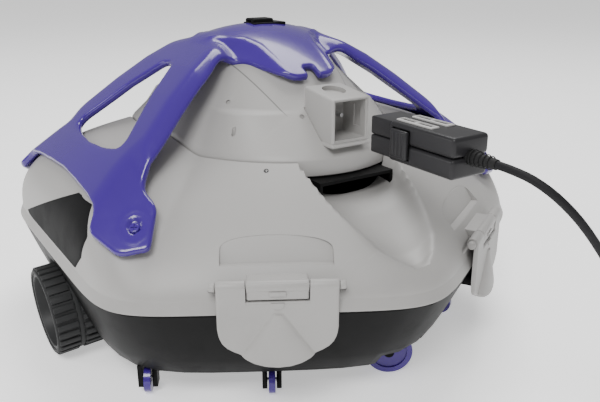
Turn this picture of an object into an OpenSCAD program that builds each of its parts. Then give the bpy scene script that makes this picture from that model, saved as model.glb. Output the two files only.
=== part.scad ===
// Cordless pool cleaner: a domed shell clipped to a tub, carried by a four-armed handle,
// rolling on two cambered wheels and small guide rollers, with its charging lead.
// Origin: on the floor, under the middle of the body. +X is the way it drives,
// +Y runs along the wheel axles and +Z is up. Millimetres.

/* [Body] */
// Width across the two wheel sides at the waist
body_w = 380; // [340:5:460]
// Width across two opposite latch faces at the waist
face_w = 408; // [370:5:490]
// Height of the waist, where the shell meets the tub
waist_z = 85; // [80:1:105]
// Height of the tub's underside above the floor
tub_clear = 19; // [16:1:24]
// Height of the dome seam above the waist
deck_rise = 78; // [70:1:100]
// Wall of the shell and of the tub
wall = 3; // [2.4:0.1:4]

/* [Dome] */
// Radius of the dome's foot along the driving direction
dome_rx = 132; // [120:1:140]
// Radius of the dome's foot towards the wheels
dome_ry = 105; // [96:1:114]
// Height of the dome above its seam
dome_h = 65; // [58:1:80]

/* [Wheels] */
// Radius of the road wheels over the tread
wheel_r = 36; // [32:1:38]
// Width of the road wheels
wheel_w = 38; // [30:1:40]
// Lean of the road wheels, outwards at the top
camber = 4; // [0:0.5:6]
// Radius of the stub axles
axle_r = 5; // [4:0.5:6]
// Radius of the front and rear guide wheels
guide_r = 18; // [15:1:18]
// Thickness of the guide wheels
guide_t = 6; // [5:0.5:8]
// Radius of the small edge rollers
roller_r = 10; // [9:0.5:11]
// Thickness of the edge rollers
roller_t = 4.8; // [4:0.2:6]

/* [Latches] */
// Width of a latch plate
latch_w = 78; // [60:1:84]
// Height of a latch from its hinge to the tip of its tongue
latch_h = 54; // [46:1:56]
// Thickness of a latch plate
latch_t = 3.2; // [2.6:0.2:4]
// Radius of a latch hinge pin
latch_pin_r = 1.6; // [1.2:0.1:2]

/* [Charging] */
// Outer width of the charging socket
socket_w = 33; // [30:1:38]
// Outer height of the charging socket
socket_h = 34; // [31:1:40]
// Wall of the charging socket
socket_wall = 3; // [2.4:0.1:3.6]
// Length of the charging connector
plug_l = 78; // [70:1:90]
// Play between the connector and the socket, all round
plug_play = 0.8; // [0.5:0.1:1.5]
// Diameter of the charging cord
cord_d = 5; // [4.6:0.1:5.4]

/* [Hidden] */

ROUND = 48;
SOFT = 16;                 // facets of small rounded ends inside a hull
RING = 60;                 // points round the big lofted shells
gap = 0.4;                 // play between parts that are fitted to each other
run = 0.05;                // radial play of a running fit
FAR = 300;                 // further out than any part of the body
side_d = body_w / 2;
face_d = face_w / 2;
skirt_h = 8;               // steep band of the shell just above the waist
skirt_in = 3;              // how far that band leans in
seam_z = waist_z + deck_rise;
side_lift = 12;            // the deck stands this much higher over the wheels
lip_w = 2;                 // rim of the deck round the dome
light_grey = [0.66, 0.66, 0.65];
violet = [0.3, 0.25, 0.6];
black = [0.14, 0.14, 0.15];
dark_grey = [0.24, 0.24, 0.25];
steel = [0.75, 0.75, 0.76];

// ---- outlines ----------------------------------------------------------------
FACES = [30, 90, 150, 210, 270, 330];
function face_dist(i) = (i == 1 || i == 4) ? side_d : face_d;
function sum(v, i = 0) = i < len(v) - 1 ? v[i] + sum(v, i + 1) : v[i];
// Rounded hexagon in polar form: inset moves the latch faces in, side the wheel faces
function hexagon(a, inset = 0, side = 0, sharp = 16) = pow(sum([for (i = [0:5])
    pow(max(0, cos(a - FACES[i])) / (face_dist(i) - ((i == 1 || i == 4) ? side : inset)),
        sharp)]), -1 / sharp);
function flat(v) = [for (row = v) for (p = row) p];
function mix(a, b, t) = a + (b - a) * t;
function smooth(t) = let (c = min(1, max(0, t))) c * c * (3 - 2 * c);
function ellipse(a, rx, ry) = 1 / sqrt(pow(cos(a) / rx, 2) + pow(sin(a) / ry, 2));
function polar(r, a, z) = [r * cos(a), r * sin(a), z];
function unit(v) = v / norm(v);
// 1 over the wheels, 0 towards the ends
function flank(a) = smooth((abs(sin(a)) - 0.78) / 0.18);
function turns() = [for (i = [0:RING - 1]) i * 360 / RING];

// ---- a closed solid through rings of points, each ring counter-clockwise -----
module skin(rings) {
    n = len(rings[0]);
    m = len(rings);
    first = n * m;
    points = concat(flat(rings), [sum(rings[0]) / n, sum(rings[m - 1]) / n]);
    sides = [for (k = [0:m - 2]) for (i = [0:n - 1]) let (j = (i + 1) % n)
        for (f = [[k * n + i, (k + 1) * n + i, (k + 1) * n + j],
                  [k * n + i, (k + 1) * n + j, k * n + j]]) f];
    foot = [for (i = [0:n - 1]) [first, i, (i + 1) % n]];
    head = [for (i = [0:n - 1]) [first + 1, (m - 1) * n + (i + 1) % n, (m - 1) * n + i]];
    polyhedron(points = points, faces = concat(sides, foot, head), convexity = 8);
}
// One faceted shell for a group of lofted pieces; round bores are cut after it
module one_shell() { resize([0, 0, 0]) children(); }
module both_ends() { for (a = [0, 180]) rotate([0, 0, a]) children(); }
module four_corners() {
    for (sx = [0, 1]) for (sy = [0, 1]) mirror([sx, 0, 0]) mirror([0, sy, 0]) children();
}
module slab(low, high) { translate(low) cube(high - low); }
module rod(r, h) { cylinder(r = r, h = h, $fn = ROUND); }
module ring(r_out, r_in, h) {
    difference() {
        rod(r_out, h);
        translate([0, 0, -1]) rod(r_in, h + 2);
    }
}

// ---- tub ---------------------------------------------------------------------
tub_lean = 32;             // how far the latch faces of the tub lean in at the bottom
tub_side_lean = 23;
tub_edge = 4;              // bevel along the bottom edge
seal_t = 1.4;
tub_top = waist_z - seal_t;
function tub_ring(t, z, shrink, bevel = 0) = [for (a = turns()) let (k = 1 - pow(t, 0.85))
    polar(hexagon(a, tub_lean * k + 0.6, tub_side_lean * k + 0.6, mix(10, 16, t))
        - shrink - bevel, a, z)];
module tub_solid(shrink = 0, floor_up = 0, top_up = 0) {
    z0 = tub_clear + floor_up;
    tall = tub_top - tub_clear;
    skin(concat([tub_ring(0, z0, shrink, tub_edge), tub_ring(0.05, z0 + tub_edge, shrink)],
        [for (t = [0.3, 0.55, 0.8]) tub_ring(t, tub_clear + t * tall, shrink)],
        [tub_ring(1, tub_top + top_up, shrink)]));
}
// Cambered wheel axis: +Z runs outwards, zero is at the wheel's outer rim
wheel_out = 9.4;           // how far the wheels stand out past the waist
wheel_z = wheel_r * cos(camber);
module wheel_axis(side) {
    translate([0, side * (side_d + wheel_out), wheel_z])
        rotate([side * -(90 + camber), 0, 0]) children();
}
well_play = 4;
module wheel_wells(grow = 0) {
    for (side = [-1, 1]) wheel_axis(side)
        translate([0, 0, -wheel_w - 3 - grow]) rod(wheel_r + well_play + grow, 80);
}
guide_x = 170;
guide_y = 12;
guide_pocket_r = guide_r + 3.5;
guide_pocket_z = 2 * guide_r + 8;
notch_z = 33;
module guide_pocket(grow = 0) {
    translate([guide_x, guide_y, 0]) {
        rod(guide_pocket_r + grow, guide_pocket_z + grow);
        slab([-23 - grow, -26 - grow, 0], [80, 26 + grow, notch_z + grow]);
    }
}
// Edge rollers: [angle of the face, distance out, offset along the face]
corner_s = (side_d - face_d / 2) / sin(60);
ROLLERS = [[330, 164, 6], [330, 157, 17.6 - corner_s], [30, 162, 36],
           [150, 164, 6], [150, 157, 17.6 - corner_s], [210, 162, 36]];
module at_roller(i) {
    rotate([0, 0, ROLLERS[i][0]])
        translate([ROLLERS[i][1] + face_d - 204, ROLLERS[i][2], roller_r]) children();
}
module roller_slots(grow = 0) {
    for (i = [0:5]) at_roller(i)
        slab([-roller_r - 2 - grow, -roller_t / 2 - 1 - grow, -roller_r - 1],
             [60, roller_t / 2 + 1 + grow, roller_r + 2 + grow]);
}
roller_pin_r = 1.5;
module roller_pin(i, extra = 0) {
    at_roller(i) rotate([90, 0, 0])
        translate([0, 0, -roller_t / 2 - 3.5]) rod(roller_pin_r + extra, roller_t + 7);
}
inlet_x = 26;              // half length and half width of the suction mouth
inlet_y = 60;
neck_h = 20;
neck_top = tub_clear + neck_h;
flap_t = 2;
flap_pin_r = 1.5;
flap_x = -inlet_x - 6;
flap_z = neck_top + 3;
module waist_ring(outer, inner, low, high) {
    translate([0, 0, low]) linear_extrude(height = high - low) difference() {
        polygon([for (a = turns()) let (r = hexagon(a) - outer) [r * cos(a), r * sin(a)]]);
        polygon([for (a = turns()) let (r = hexagon(a) - inner) [r * cos(a), r * sin(a)]]);
    }
}
catch_w = 24;
module tub_body() difference() {
    union() {
        difference() {
            tub_solid();
            difference() {
                tub_solid(shrink = wall, floor_up = wall, top_up = 1);
                wheel_wells(grow = wall);
                both_ends() guide_pocket(grow = wall);
                roller_slots(grow = wall);
            }
        }
        slab([-inlet_x - wall, -inlet_y - wall, tub_clear + 1],
             [inlet_x + wall, inlet_y + wall, neck_top]);
        for (side = [-1, 1])
            slab([flap_x - 4, side * (inlet_y - 2) - 3, tub_clear + wall - 1],
                 [flap_x + 4, side * (inlet_y - 2) + 3, flap_z + 3]);
        for (i = [0:5]) at_roller(i) for (s = [-1, 1])
            slab([-5, s * (roller_t / 2 + 2.8) - 1.8, -4.5],
                 [5, s * (roller_t / 2 + 2.8) + 1.8, roller_r + 3]);
        at_latches() slab([face_d - 22, -catch_w / 2, waist_z - 26],
                          [face_d - 1, catch_w / 2, waist_z - 18]);
    }
    wheel_wells();
    both_ends() guide_pocket();
    roller_slots();
    slab([-inlet_x, -inlet_y, 0], [inlet_x, inlet_y, neck_top + 1]);
}
module base_tub() color(black) difference() {
    one_shell() tub_body();
    for (i = [0:5]) roller_pin(i, run);
    for (side = [-1, 1]) wheel_axis(side)
        translate([0, 0, -wheel_w - 20]) rod(axle_r + run, 40);
    both_ends() translate([guide_x, guide_y, 0]) rod(fork_stem_r + run, guide_pocket_z + 10);
    translate([flap_x, FAR / 2, flap_z]) rotate([90, 0, 0]) rod(flap_pin_r + run, FAR);
}
module body_seal() color(black)
    waist_ring(1, 2.8, tub_top, waist_z - 0.05);
basket_x = 108;
basket_y = 86;
basket_z = tub_clear + wall;
basket_top = waist_z - 5;
basket_wall = 2.4;
window_n = 5;
// Windows of the basket, [along, low, high], cut through its four walls
module basket_windows(grow = 0) {
    for (i = [0:window_n - 1]) let (pitch = 2 * basket_x / window_n,
            x = -basket_x + (i + 0.5) * pitch, half = pitch / 2 - 3)
        slab([x - half, -FAR, basket_z + 8 - grow], [x + half, FAR, basket_top - 7 + grow]);
    for (i = [0:window_n - 2]) let (pitch = 2 * basket_y / (window_n - 1),
            y = -basket_y + (i + 0.5) * pitch, half = pitch / 2 - 3)
        slab([-FAR, y - half, basket_z + 8 - grow], [FAR, y + half, basket_top - 7 + grow]);
}
module basket_box(x, y, low, high) { slab([-x, -y, low], [x, y, high]); }
module filter_basket() color([0.8, 0.8, 0.8]) difference() {
    basket_box(basket_x, basket_y, basket_z, basket_top);
    basket_box(basket_x - basket_wall, basket_y - basket_wall,
        basket_z + basket_wall, basket_top + 1);
    basket_windows();
    slab([flap_x - 6, -inlet_y - wall - 2, 0], [inlet_x + wall + 2, inlet_y + wall + 2, waist_z]);
}
mesh_t = 0.6;
module filter_mesh() color([0.9, 0.9, 0.85]) difference() {
    basket_box(basket_x - basket_wall - 0.1, basket_y - basket_wall - 0.1,
        basket_z + basket_wall + 0.1, basket_top - 4);
    basket_box(basket_x - basket_wall - 0.1 - mesh_t, basket_y - basket_wall - 0.1 - mesh_t,
        0, basket_top + 1);
}
module inlet_flap() color(dark_grey) difference() {
    union() {
        slab([flap_x, -inlet_y + 2, neck_top + gap],
             [inlet_x + wall, inlet_y - 2, neck_top + gap + flap_t]);
        for (side = [-1, 1]) translate([flap_x, side * (inlet_y - 16) + 7, flap_z])
            rotate([90, 0, 0]) rod(3, 14);
    }
    translate([flap_x, FAR / 2, flap_z]) rotate([90, 0, 0]) rod(flap_pin_r + run, FAR);
    for (side = [-1, 1]) slab([flap_x - 5, side * (inlet_y - 2) - 3.6, neck_top],
                              [flap_x + 5, side * (inlet_y - 2) + 3.6, flap_z + 6]);
}
module flap_pin() color(steel) translate([flap_x, inlet_y + 1, flap_z])
    rotate([90, 0, 0]) rod(flap_pin_r, 2 * inlet_y + 2);

// ---- road wheels -------------------------------------------------------------
tyre_t = 5;
hub_web = 20;              // how deep the wheel's dish is
boss_r = 10;
boss_out = 12;
module tyre(side) color(dark_grey) wheel_axis(side) translate([0, 0, -wheel_w])
    rotate_extrude($fn = ROUND) polygon([
        [wheel_r - tyre_t, 0], [wheel_r - 2, 0], [wheel_r, 2], [wheel_r, wheel_w - 2],
        [wheel_r - 2, wheel_w], [wheel_r - tyre_t, wheel_w]]);
module wheel_hub(side) color(dark_grey) wheel_axis(side) {
    translate([0, 0, -wheel_w + 1]) ring(wheel_r - tyre_t - 0.1, wheel_r - tyre_t - 3, wheel_w - 2);
    translate([0, 0, -hub_web - 4]) ring(wheel_r - tyre_t - 2, axle_r + run, 4);
    translate([0, 0, -wheel_w + 3]) ring(boss_r, axle_r + run, wheel_w - 3 - boss_out);
}
module wheel_axles() color(steel) for (side = [-1, 1]) wheel_axis(side) {
    translate([0, 0, -wheel_w - 14]) rod(axle_r, wheel_w + 16 - boss_out);
    translate([0, 0, -boss_out + gap]) rod(axle_r + 3, 3);
}

// ---- guide wheels and edge rollers -------------------------------------------
fork_stem_r = 5;
fork_yaw = -35;
guide_axle_r = 2.5;
module at_guide(end) {
    rotate([0, 0, end]) translate([guide_x, guide_y, 0]) rotate([0, 0, fork_yaw]) children();
}
module guide_fork(end) color(black) at_guide(end) {
    translate([0, 0, guide_pocket_z - 5]) rod(guide_pocket_r - 8, 5 - gap);
    translate([0, 0, guide_pocket_z - 1]) rod(fork_stem_r, wall + 4);
    translate([0, 0, guide_pocket_z + wall + gap]) rod(fork_stem_r + 3, 2.6);
    slab([-guide_t / 2 - 5, -7, guide_r - 7], [-guide_t / 2 - 1, 7, guide_pocket_z - 1]);
    translate([-guide_t / 2 - 4, 0, guide_r]) rotate([0, 90, 0]) rod(guide_axle_r, guide_t + 5);
    translate([guide_t / 2 + gap, 0, guide_r]) rotate([0, 90, 0]) rod(guide_axle_r + 1.5, 1.6);
}
module guide_wheel(end) color(violet) at_guide(end) translate([0, 0, guide_r])
    rotate([0, 90, 0]) translate([0, 0, -guide_t / 2]) difference() {
        ring(guide_r, guide_axle_r + run, guide_t);
        translate([0, 0, guide_t - 1.2]) ring(guide_r - 4, guide_axle_r + 3, 4);
    }
module edge_roller(i) color(violet) at_roller(i) rotate([90, 0, 0])
    translate([0, 0, -roller_t / 2]) ring(roller_r, roller_pin_r + run, roller_t);
module roller_pins() color(steel) for (i = [0:5]) roller_pin(i);

// ---- deck of the top shell ---------------------------------------------------
deck_levels = [0, 0.06, 0.14, 0.24, 0.36, 0.5, 0.64, 0.78, 0.9, 1];
function deck_top(a) = seam_z + side_lift * flank(a);
function deck_r(a, u) = mix(hexagon(a) - skirt_in,
    ellipse(a, dome_rx, dome_ry) + lip_w, pow(u, 1.5 + 2.3 * flank(a)));
function deck_z(a, u) = mix(waist_z + skirt_h, deck_top(a), u);
// Solid under the deck: drop lowers the surface and shrink pulls it in
module deck_solid(drop = 0, shrink = 0) {
    skin(concat(
        [[for (a = turns()) polar(hexagon(a) - shrink, a, waist_z - (drop > 0 ? 5 : 0))],
         [for (a = turns()) polar(hexagon(a) - shrink, a, waist_z + 0.5)]],
        [for (u = deck_levels) [for (a = turns())
            polar(deck_r(a, u) - shrink, a, deck_z(a, u) - drop)]]));
}
// Trough where each water jet leaves: [x, half width, bottom] down the slope
TROUGH = [[118, 40, 139], [140, 40, 136], [160, 40, 128], [180, 39, 117], [195, 34, 109],
          [206, 24, 105.5], [214, 12, 105.5]];
trough_arc = 14;
trough_deep = 34;
trough_dx = face_d / cos(30) - 235.5;
trough_dz = seam_z - 163;
function trough_ring(s, grow) = let (x = s[0] + trough_dx + (s == TROUGH[6] ? grow : 0),
    w = s[1] + grow, zf = s[2] + trough_dz - grow)
    concat([for (i = [0:trough_arc]) let (t = 180 + 180 * i / trough_arc)
        [x, w * cos(t), zf + trough_deep * (1 + sin(t))]],
        [[x, w, zf + FAR / 2], [x, -w, zf + FAR / 2]]);
module trough_solid(grow = 0) { skin([for (s = TROUGH) trough_ring(s, grow)]); }

// ---- latches and their hinges ------------------------------------------------
LATCHES = [[330, 1], [30, -1], [150, 1], [210, -1]];
latch_shift = 10;          // each latch sits this much nearer to its end of the body
module at_latch(i) {
    rotate([0, 0, LATCHES[i][0]]) translate([0, LATCHES[i][1] * latch_shift, 0]) children();
}
module at_latches() { for (i = [0:3]) at_latch(i) children(); }
hinge_z = waist_z + 20;
hinge_d = face_d + 0.5;
barrel_r = 4.2;
knuckle_w = 40;
latch_play = 0.5;
module along_y(r, half, x, z) {
    translate([x, half, z]) rotate([90, 0, 0]) rod(r, 2 * half);
}
module latch_pocket() {
    // notch for the turning barrel, and a shallow finger recess above it
    slab([hinge_d - barrel_r - 2.8, -latch_w / 2 - 5.6, hinge_z - 7],
         [hinge_d + 30, latch_w / 2 + 5.6, hinge_z + 7]);
    slab([hinge_d - 17, -latch_w / 2 + 2, hinge_z],
         [hinge_d + 30, latch_w / 2 - 2, hinge_z + 26]);
}
module latch_seat() {
    intersection() {
        deck_solid();
        at_latches() slab([hinge_d - 30, -latch_w / 2 - 8, waist_z + 0.6],
                          [hinge_d, latch_w / 2 + 8, hinge_z + 24]);
    }
}
module latch_knuckles() {
    at_latches() {
        along_y(barrel_r, knuckle_w / 2, hinge_d, hinge_z);
        slab([hinge_d - 16, -knuckle_w / 2, hinge_z - barrel_r],
             [hinge_d, knuckle_w / 2, hinge_z + barrel_r - 1]);
    }
}
tongue_w = 50;
tongue_h = 14;
module latch_outline() {
    low = hinge_z + barrel_r - latch_h;
    polygon(concat(
        [[latch_w / 2, hinge_z + barrel_r], [-latch_w / 2, hinge_z + barrel_r],
         [-latch_w / 2, low + tongue_h + 4], [-latch_w / 2 + 5, low + tongue_h - 2]],
        [for (t = [180:15:360]) [tongue_w / 2 * cos(t) * 1.1, low + 9 + 9 * sin(t)]],
        [[latch_w / 2 - 5, low + tongue_h - 2], [latch_w / 2, low + tongue_h + 4]]));
}
module latch(i) color(light_grey) at_latch(i) difference() {
    union() {
        translate([hinge_d + barrel_r - latch_t, 0, 0]) rotate([90, 0, 90])
            linear_extrude(height = latch_t) latch_outline();
        along_y(barrel_r, latch_w / 2, hinge_d, hinge_z);
        // raised fan on the face
        translate([hinge_d + barrel_r - 0.5, 0, hinge_z - 12]) rotate([90, 180, 90])
            linear_extrude(height = 2) polygon([[-3, 0], [3, 0], [26, 28], [-26, 28]]);
    }
    along_y(latch_pin_r + run, latch_w, hinge_d, hinge_z);
    slab([hinge_d - 10, -knuckle_w / 2 - latch_play, hinge_z - barrel_r - latch_play],
         [hinge_d + 10, knuckle_w / 2 + latch_play, hinge_z + 10]);
}
module latch_pins() color(steel) at_latches() {
    along_y(latch_pin_r, latch_w / 2 + 4.6, hinge_d, hinge_z);
    for (s = [-1, 1]) translate([0, s * (latch_w / 2 + 2.6), 0])
        along_y(3, 2, hinge_d, hinge_z);
}

// ---- side covers -------------------------------------------------------------
COVER = [[-76, 12], [46, 59], [71, 57], [86, 40], [81, 24], [64, 10], [-60, 9]];
cover_t = 1.6;
cover_proud = 0.5;
module cover_prism(grow = 0) {
    translate([0, -80, waist_z]) rotate([90, 0, 0]) linear_extrude(height = FAR)
        polygon([for (p = COVER) [p[0] + sign(p[0]) * grow,
            p[1] * deck_rise / 78 + (p[1] > 11 ? grow : -grow)]]);
}
module side_cover(turn) color(dark_grey) rotate([0, 0, turn]) intersection() {
    cover_prism();
    difference() {
        deck_solid(shrink = -cover_proud);
        deck_solid(shrink = cover_t - 0.15);
    }
}

// ---- top shell ---------------------------------------------------------------
module dome_plan(grow) {
    polygon([for (a = turns()) let (r = ellipse(a, dome_rx, dome_ry) + grow)
        [r * cos(a), r * sin(a)]]);
}
module shell_body() difference() {
    union() {
        difference() {
            union() {
                difference() {
                    deck_solid();
                    deck_solid(drop = wall, shrink = wall);
                }
                intersection() {
                    deck_solid();
                    both_ends() trough_solid(grow = wall);
                }
                latch_seat();
            }
            at_latches() latch_pocket();
        }
        latch_knuckles();
    }
    both_ends() trough_solid();
    both_ends() duct_block(gap);
    translate([0, 0, seam_z - 30]) linear_extrude(height = 80) dome_plan(gap);
    difference() {
        both_ends() cover_prism(gap);
        deck_solid(shrink = cover_t);
    }
}
module top_shell() color(light_grey) difference() {
    one_shell() shell_body();
    at_latches() along_y(latch_pin_r + run, latch_w, hinge_d, hinge_z);
    at_deck_screws() translate([0, 0, -6]) rod(deck_screw_r + run, 20);
    at_feet() translate([0, 0, -14]) rod(foot_screw_r + run, 20);
}

// ---- dome --------------------------------------------------------------------
dome_top = seam_z + dome_h;
dome_lean = 70;            // how much smaller the dome is at its top
dome_tilt = 3;
skirt_low = seam_z - 11.5;
lobe_at = 38;              // the dome bulges at these four bearings
lobe_out = 7;
lobe_h = 0.42;
function lobe(a, v) = let (b = abs(a > 180 ? a - 360 : a), c = b > 90 ? 180 - b : b)
    v > lobe_h ? 0 : lobe_out * exp(-pow((c - lobe_at) / 14, 2)) * v / lobe_h;
function dome_r(a, v) = let (k = (dome_rx - dome_lean) / dome_rx)
    ellipse(a, dome_rx, dome_ry) * mix(1, k, v) - 1.5 * (1 - v) + lobe(a, v);
dome_levels = [0.001, 0.14, 0.28, 0.42, 0.44, 0.6, 0.8, 1];
module dome_solid(shrink = 0, drop = 0, low = 0) {
    skin(concat(
        [[for (a = turns()) polar(ellipse(a, dome_rx, dome_ry) - shrink, a, skirt_low - low)],
         [for (a = turns()) polar(ellipse(a, dome_rx, dome_ry) - shrink, a,
             deck_top(a) + 1 - drop)]],
        [for (v = dome_levels) [for (a = turns())
            polar(dome_r(a, v) - shrink, a, mix(deck_top(a) + dome_tilt, dome_top, v) - drop)]]));
}
button_r = 9;
button_z = seam_z + 24;
button_x = -(dome_rx - 22);
module dome_shell() difference() {
    union() {
        difference() {
            dome_solid();
            dome_solid(shrink = wall, drop = wall, low = 5);
        }
        translate([button_x - 8, 0, button_z]) rotate([0, 90, 0]) rod(button_r + 4, 16);
    }
    socket_block(gap);
}
module dome_housing() color(light_grey) difference() {
    one_shell() dome_shell();
    translate([button_x - 10, 0, button_z]) rotate([0, 90, 0]) rod(button_r + gap, 40);
}
floor_t = 3;
floor_z = seam_z - 11;
pump_r = 46;
module dome_floor() color(dark_grey) translate([0, 0, floor_z]) difference() {
    linear_extrude(height = floor_t) dome_plan(-wall - gap);
    translate([0, 0, -1]) rod(pump_r + gap, floor_t + 2);
}
module power_button() color(black) translate([button_x - 11, 0, button_z])
    rotate([0, 90, 0]) rod(button_r, 14);

// ---- pump --------------------------------------------------------------------
duct_y = 33;
duct_low = seam_z - 30;
duct_high = seam_z - 12;
duct_x0 = pump_r + gap;
duct_x1 = dome_rx + 9.5;
duct_t = 2.4;
module duct_block(grow = 0) {
    slab([duct_x0 - grow, -duct_y - grow, duct_low - grow],
         [duct_x1 + grow, duct_y + grow, duct_high]);
}
module outlet_duct(turn) color(black) rotate([0, 0, turn]) difference() {
    duct_block();
    slab([0, -duct_y + duct_t, duct_low + duct_t], [FAR, duct_y - duct_t, duct_high - duct_t]);
}
pump_low = waist_z + 18;
pump_top = floor_z + floor_t;
intake_r = 30;
shaft_r = 3;
module pump_housing() color(dark_grey) difference() {
    translate([0, 0, pump_low]) rod(pump_r, pump_top - pump_low);
    translate([0, 0, pump_low + wall]) rod(pump_r - wall, pump_top - pump_low - 2 * wall);
    translate([0, 0, pump_low - 1]) rod(intake_r, 10);
    translate([0, 0, pump_low]) rod(shaft_r + 1, FAR);
    slab([-FAR, -duct_y + duct_t, duct_low + duct_t], [FAR, duct_y - duct_t, duct_high - duct_t]);
}
impeller_r = 38;
impeller_low = pump_low + 8;
blade_n = 6;
module impeller() color(violet) {
    translate([0, 0, impeller_low]) rod(9, 20);
    translate([0, 0, impeller_low]) rod(shaft_r, pump_top + 12 - impeller_low);
    translate([0, 0, impeller_low]) rod(impeller_r, 2);
    for (i = [0:blade_n - 1]) rotate([0, 0, i * 360 / blade_n])
        slab([7, -1.2, impeller_low + 1], [impeller_r - 2, 1.2, impeller_low + 16]);
}
motor_r = 26;
motor_h = 34;
module pump_motor() color(steel) translate([0, 0, pump_top + 0.2]) difference() {
    rod(motor_r, motor_h);
    translate([0, 0, -1]) rod(shaft_r + run, 16);
}
cell_h = 30;
module battery_pack() color(black) for (s = [-1, 1])
    slab([-42, s * 47 - 16, pump_top + 0.2], [42, s * 47 + 16, pump_top + cell_h]);
module control_board() color([0.1, 0.4, 0.25]) {
    slab([-42, -46, pump_top + motor_h + 2], [42, 46, pump_top + motor_h + 3.6]);
    for (sx = [-1, 1]) for (sy = [-1, 1])
        translate([sx * 35, sy * 40, pump_top + cell_h]) rod(2.5, motor_h - cell_h + 2);
}

// ---- charging socket ---------------------------------------------------------
socket_x = dome_rx;
socket_z = seam_z + 27.5;
socket_deep = 28;
module socket_block(grow = 0) {
    half = socket_w / 2 + grow;
    low = socket_z - socket_h / 2 - grow;
    high = socket_z + socket_h / 2 + grow;
    rotate([90, 0, 0]) translate([0, 0, -half]) linear_extrude(height = 2 * half)
        polygon([[socket_x - 36 - grow, low], [socket_x + grow, low],
                 [socket_x + grow, high - 1], [socket_x - 36 - grow, high + 4]]);
}
module socket_housing() color(light_grey) difference() {
    socket_block();
    slab([socket_x - socket_deep, -socket_w / 2 + socket_wall,
          socket_z - socket_h / 2 + socket_wall],
         [socket_x + 1, socket_w / 2 - socket_wall, socket_z + socket_h / 2 - socket_wall]);
}
module socket_contacts() color(steel) for (s = [-1, 1])
    translate([socket_x - socket_deep, s * 5, socket_z]) rotate([0, 90, 0]) rod(1.5, 10);

// ---- carrying handle ---------------------------------------------------------
cap_z = dome_top + 19;
module cap_hull(grow = 0) {
    hull() {
        translate([0, 0, cap_z - 3]) cylinder(r = 26 + grow, h = 4, $fn = SOFT);
        for (s = [-1, 1]) {
            slab([s * 82 - 3, -23 - grow, cap_z - 34], [s * 82 + 3, 23 + grow, cap_z - 28]);
            slab([-20 - grow, s * 68 - 4, cap_z - 20], [20 + grow, s * 68 + 4, cap_z - 14]);
        }
    }
}
// Arm from the cap to a foot: [centre, half width]
// The arm spreads with the feet, which follow the width of the body
function arm_stations() = let (z = dome_top - 228, dx = face_d - 204, dy = 190 - side_d)
    [[[10, -58, 231 + z], 17], [[24 + 0.2 * dx, -80 + 0.2 * dy, 220 + z], 13],
     [[42 + 0.45 * dx, -104 + 0.45 * dy, 203 + z], 12.5],
     [[62 + 0.75 * dx, -130 + 0.75 * dy, 180 + z], 13],
     [[76 + dx, -148 + dy, 162 + z], 17], [[86 + dx, -160 + dy, waist_z + 65], 20]];
arm_t = 3.6;
function strip_ring(st, i) = let (p = st[i][0], w = st[i][1],
    d = unit(st[min(i + 1, len(st) - 1)][0] - st[max(i - 1, 0)][0]),
    up = unit([0.45, -0.45, 0.77]), across = unit(cross(up, d)), n = cross(d, across))
    [p + across * w - n * arm_t, p + across * w + n * arm_t * 0.4,
     p + across * w * 0.8 + n * arm_t, p - across * w * 0.8 + n * arm_t,
     p - across * w + n * arm_t * 0.4, p - across * w - n * arm_t];
module strip(st) { skin([for (i = [0:len(st) - 1]) strip_ring(st, i)]); }
// Corners of a foot plate, on the corner of the shell
function foot_points() = [[73, -173, 61], [87, -148, 64], [106, -140, 50], [125, -155, 33],
    [116, -173, 33], [93, -184, 43]];
foot_n = unit([0.55, -0.35, 0.757]);
module along(n) { rotate([0, acos(n[2]), atan2(n[1], n[0])]) children(); }
module foot_plate() {
    hull() for (p = foot_points()) translate([p[0] + face_d - 204, p[1] - side_d + 190,
        p[2] + waist_z]) along(foot_n) translate([0, 0, -10])
        cylinder(r = 2.5, h = 15, $fn = SOFT);
}
module at_feet() {
    four_corners() translate([108 + face_d - 204, -157 - side_d + 190, 131.5 + waist_z - 85])
        along(foot_n) children();
}
foot_screw_r = 2;
belt_low = [-174, waist_z + 64];
belt_high = [-151, waist_z + 81];
belt_x = face_d - 116;
BELT_X = [for (t = [-88, -60, -30, 0, 30, 60, 88]) t / 88 * belt_x];
module belt() {
    n = unit([0, belt_low[1] - belt_high[1], belt_high[0] - belt_low[0]]) * -1;
    skin([for (x = BELT_X) let (bow = 3 * (1 - pow(x / belt_x, 2)),
        lo = [x, belt_low[0] - side_d + 190 - bow, belt_low[1]],
        hi = [x, belt_high[0] - side_d + 190 - bow, belt_high[1]], o = [0, -2.2, 2.8])
        [lo - o * 0.6, hi - o * 0.6, hi + o * 0.6, lo + o * 0.6]]);
}
module carry_handle() color(violet) difference() {
    union() {
        difference() {
            cap_hull();
            translate([0, 0, -4.5]) cap_hull(1.5);
        }
        four_corners() {
            strip(arm_stations());
            foot_plate();
        }
        belt();
        mirror([0, 1, 0]) belt();
    }
    deck_solid(shrink = -1, drop = -0.6);
    dome_solid(shrink = -gap, drop = -gap);
    for (s = [-1, 1]) slab([s * 85 - 9, -5, cap_z - 60], [s * 85 + 9, 5, cap_z]);
    at_feet() translate([0, 0, -20]) rod(foot_screw_r + run, 60);
}
module retrieval_hook() color(black) translate([0, 0, cap_z + 1]) {
    slab([-8, -9, 0], [10, 22, 1.6]);
    slab([-7, -8, 0], [7, 12, 5.4]);
}
module handle_screws() color(steel) at_feet() {
    translate([0, 0, -12]) rod(foot_screw_r, 18);
    translate([0, 0, 5.2]) rod(4, 2.4);
}

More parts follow.
